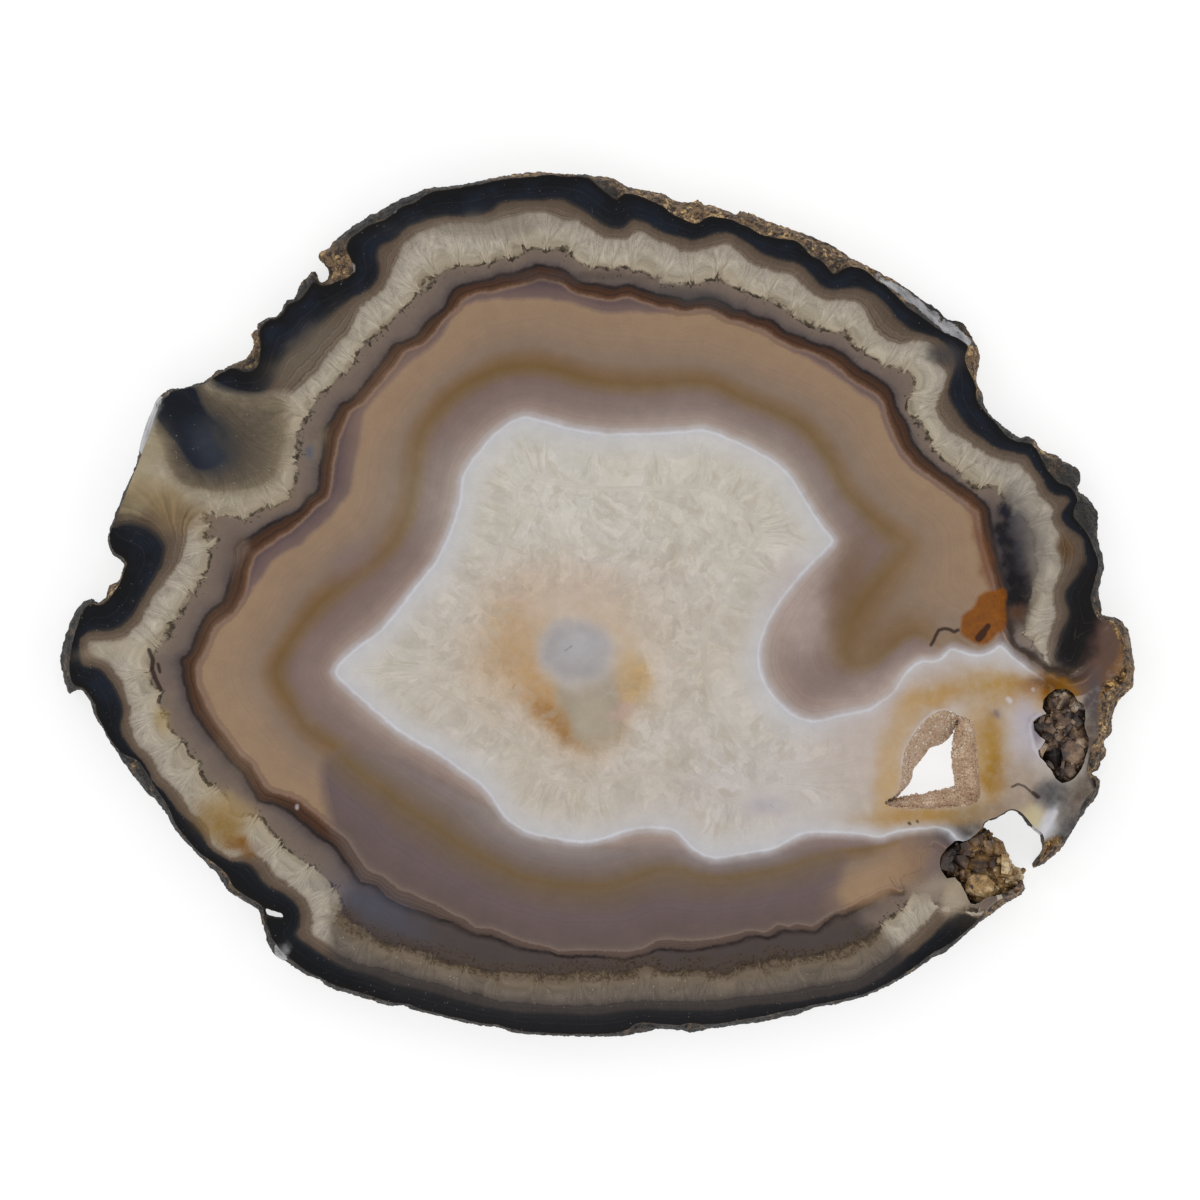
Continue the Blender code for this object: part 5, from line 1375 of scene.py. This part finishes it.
# The studio: a white floor, soft lights low round the stone and nothing bright straight above it.
LIGHTS = ((20, 38, 1.0), (80, 50, 0.8), (140, 40, 1.15), (205, 42, 1.0), (260, 50, 0.8), (320, 40, 0.9))
LIGHT_DISTANCE, LIGHT_SIZE, LIGHT_POWER = 1.3, 0.7, 1.95
AMBIENT = 0.6
FLOOR_GLOW = 0.72
CAMERA_SPOT = (0.000382, 0.000625)
CAMERA_HEIGHT, SENSOR = 1.4, 36.0


def studio():
    bpy.ops.mesh.primitive_plane_add(size=4, location=(0, 0, -FLOOR_DEPTH))
    floor = bpy.context.object
    floor.name = "pale_floor"
    floor.data.materials.append(ground())
    for i, (turn, lift, share) in enumerate(LIGHTS):
        light = bpy.data.lights.new(f"soft_light_{i}", "AREA")
        light.shape, light.size, light.energy = "DISK", LIGHT_SIZE, LIGHT_POWER * share
        lamp = bpy.data.objects.new(light.name, light)
        turn, lift = math.radians(turn), math.radians(lift)
        away = Vector((math.cos(turn) * math.cos(lift), math.sin(turn) * math.cos(lift), math.sin(lift)))
        lamp.location = away * LIGHT_DISTANCE
        lamp.rotation_euler = away.to_track_quat("Z", "Y").to_euler()
        bpy.context.scene.collection.objects.link(lamp)
    world = bpy.data.worlds.new("dim_room")
    world.use_nodes = True
    world.node_tree.nodes["Background"].inputs["Color"].default_value = (AMBIENT, AMBIENT, AMBIENT, 1)
    bpy.context.scene.world = world
    bpy.context.scene.view_settings.view_transform = "Standard"
    lens = bpy.data.cameras.new("above")
    lens.sensor_width = SENSOR
    lens.lens = SENSOR * CAMERA_HEIGHT / (FRAME_PIXELS * METRES_PER_PIXEL)
    lens.clip_end = 10
    camera = bpy.data.objects.new("above", lens)
    camera.location = (*CAMERA_SPOT, TOP + CAMERA_HEIGHT)
    bpy.context.scene.collection.objects.link(camera)
    bpy.context.scene.camera = camera


def facing_up(middles, normals):
    return np.clip(normals[:, 2] + 0.25, 0, 1)


def facing_open(middles, normals):
    """The cavity's crystals stand below the polished face, few of them on its smooth upper left wall."""
    smooth_wall = normals[:, 0] - normals[:, 1] > 0.45
    share = np.clip(normals[:, 2] + 0.8, 0, 1) * np.where(smooth_wall, 0.12, 1.0)
    return np.where(middles[:, 2] < TOP - 0.0002, share, 0)


CRYSTAL_SEED = 31
SWELL = 0.0006
LOWEST = 0.00002
SUGAR = ((0.0, (176, 146, 120)), (0.35, (198, 168, 140)), (0.65, (214, 190, 164)), (1.0, (236, 228, 218)))
AMBER = ((0.0, (20, 13, 9)), (0.3, (60, 40, 27)), (0.55, (116, 86, 52)), (0.8, (164, 132, 86)), (1.0, (206, 182, 142)))
UMBER = ((0.0, (18, 13, 12)), (0.3, (52, 39, 33)), (0.55, (108, 85, 67)), (0.8, (152, 126, 100)), (1.0, (196, 184, 172)))

slab, cavity_faces = banded_slab()
crystal_crust(
    "cavity_crystals", "cavity_druse", (934, 768), facing_open, ((5200, 0.00022, 0.5, 5, 1.8),),
    (-0.004, 950, -0.004, 770), crystal("sugary_quartz", SUGAR, 0.3, (190, 158, 130)), cavity_faces,
)
crystal_crust(
    "brown_crystals", "brown_quartz", (978, 866), facing_up, ((70, 0.0019, 0.35, 6, 0.6), (260, 0.0005, 0.6, 5, 1.6)),
    (0.012, 978, 0.003, 862), crystal("amber_quartz", AMBER, 0.2, (40, 25, 14)),
)
crystal_crust(
    "pit_crystals", "pit_crust", (1060, 735), facing_up, ((90, 0.0017, 0.4, 6, 0.7), (240, 0.0005, 0.7, 4, 2.2)),
    (0.0, 1060, -0.003, 745), crystal("umber_quartz", UMBER, 0.25, (34, 26, 22)),
)
studio()
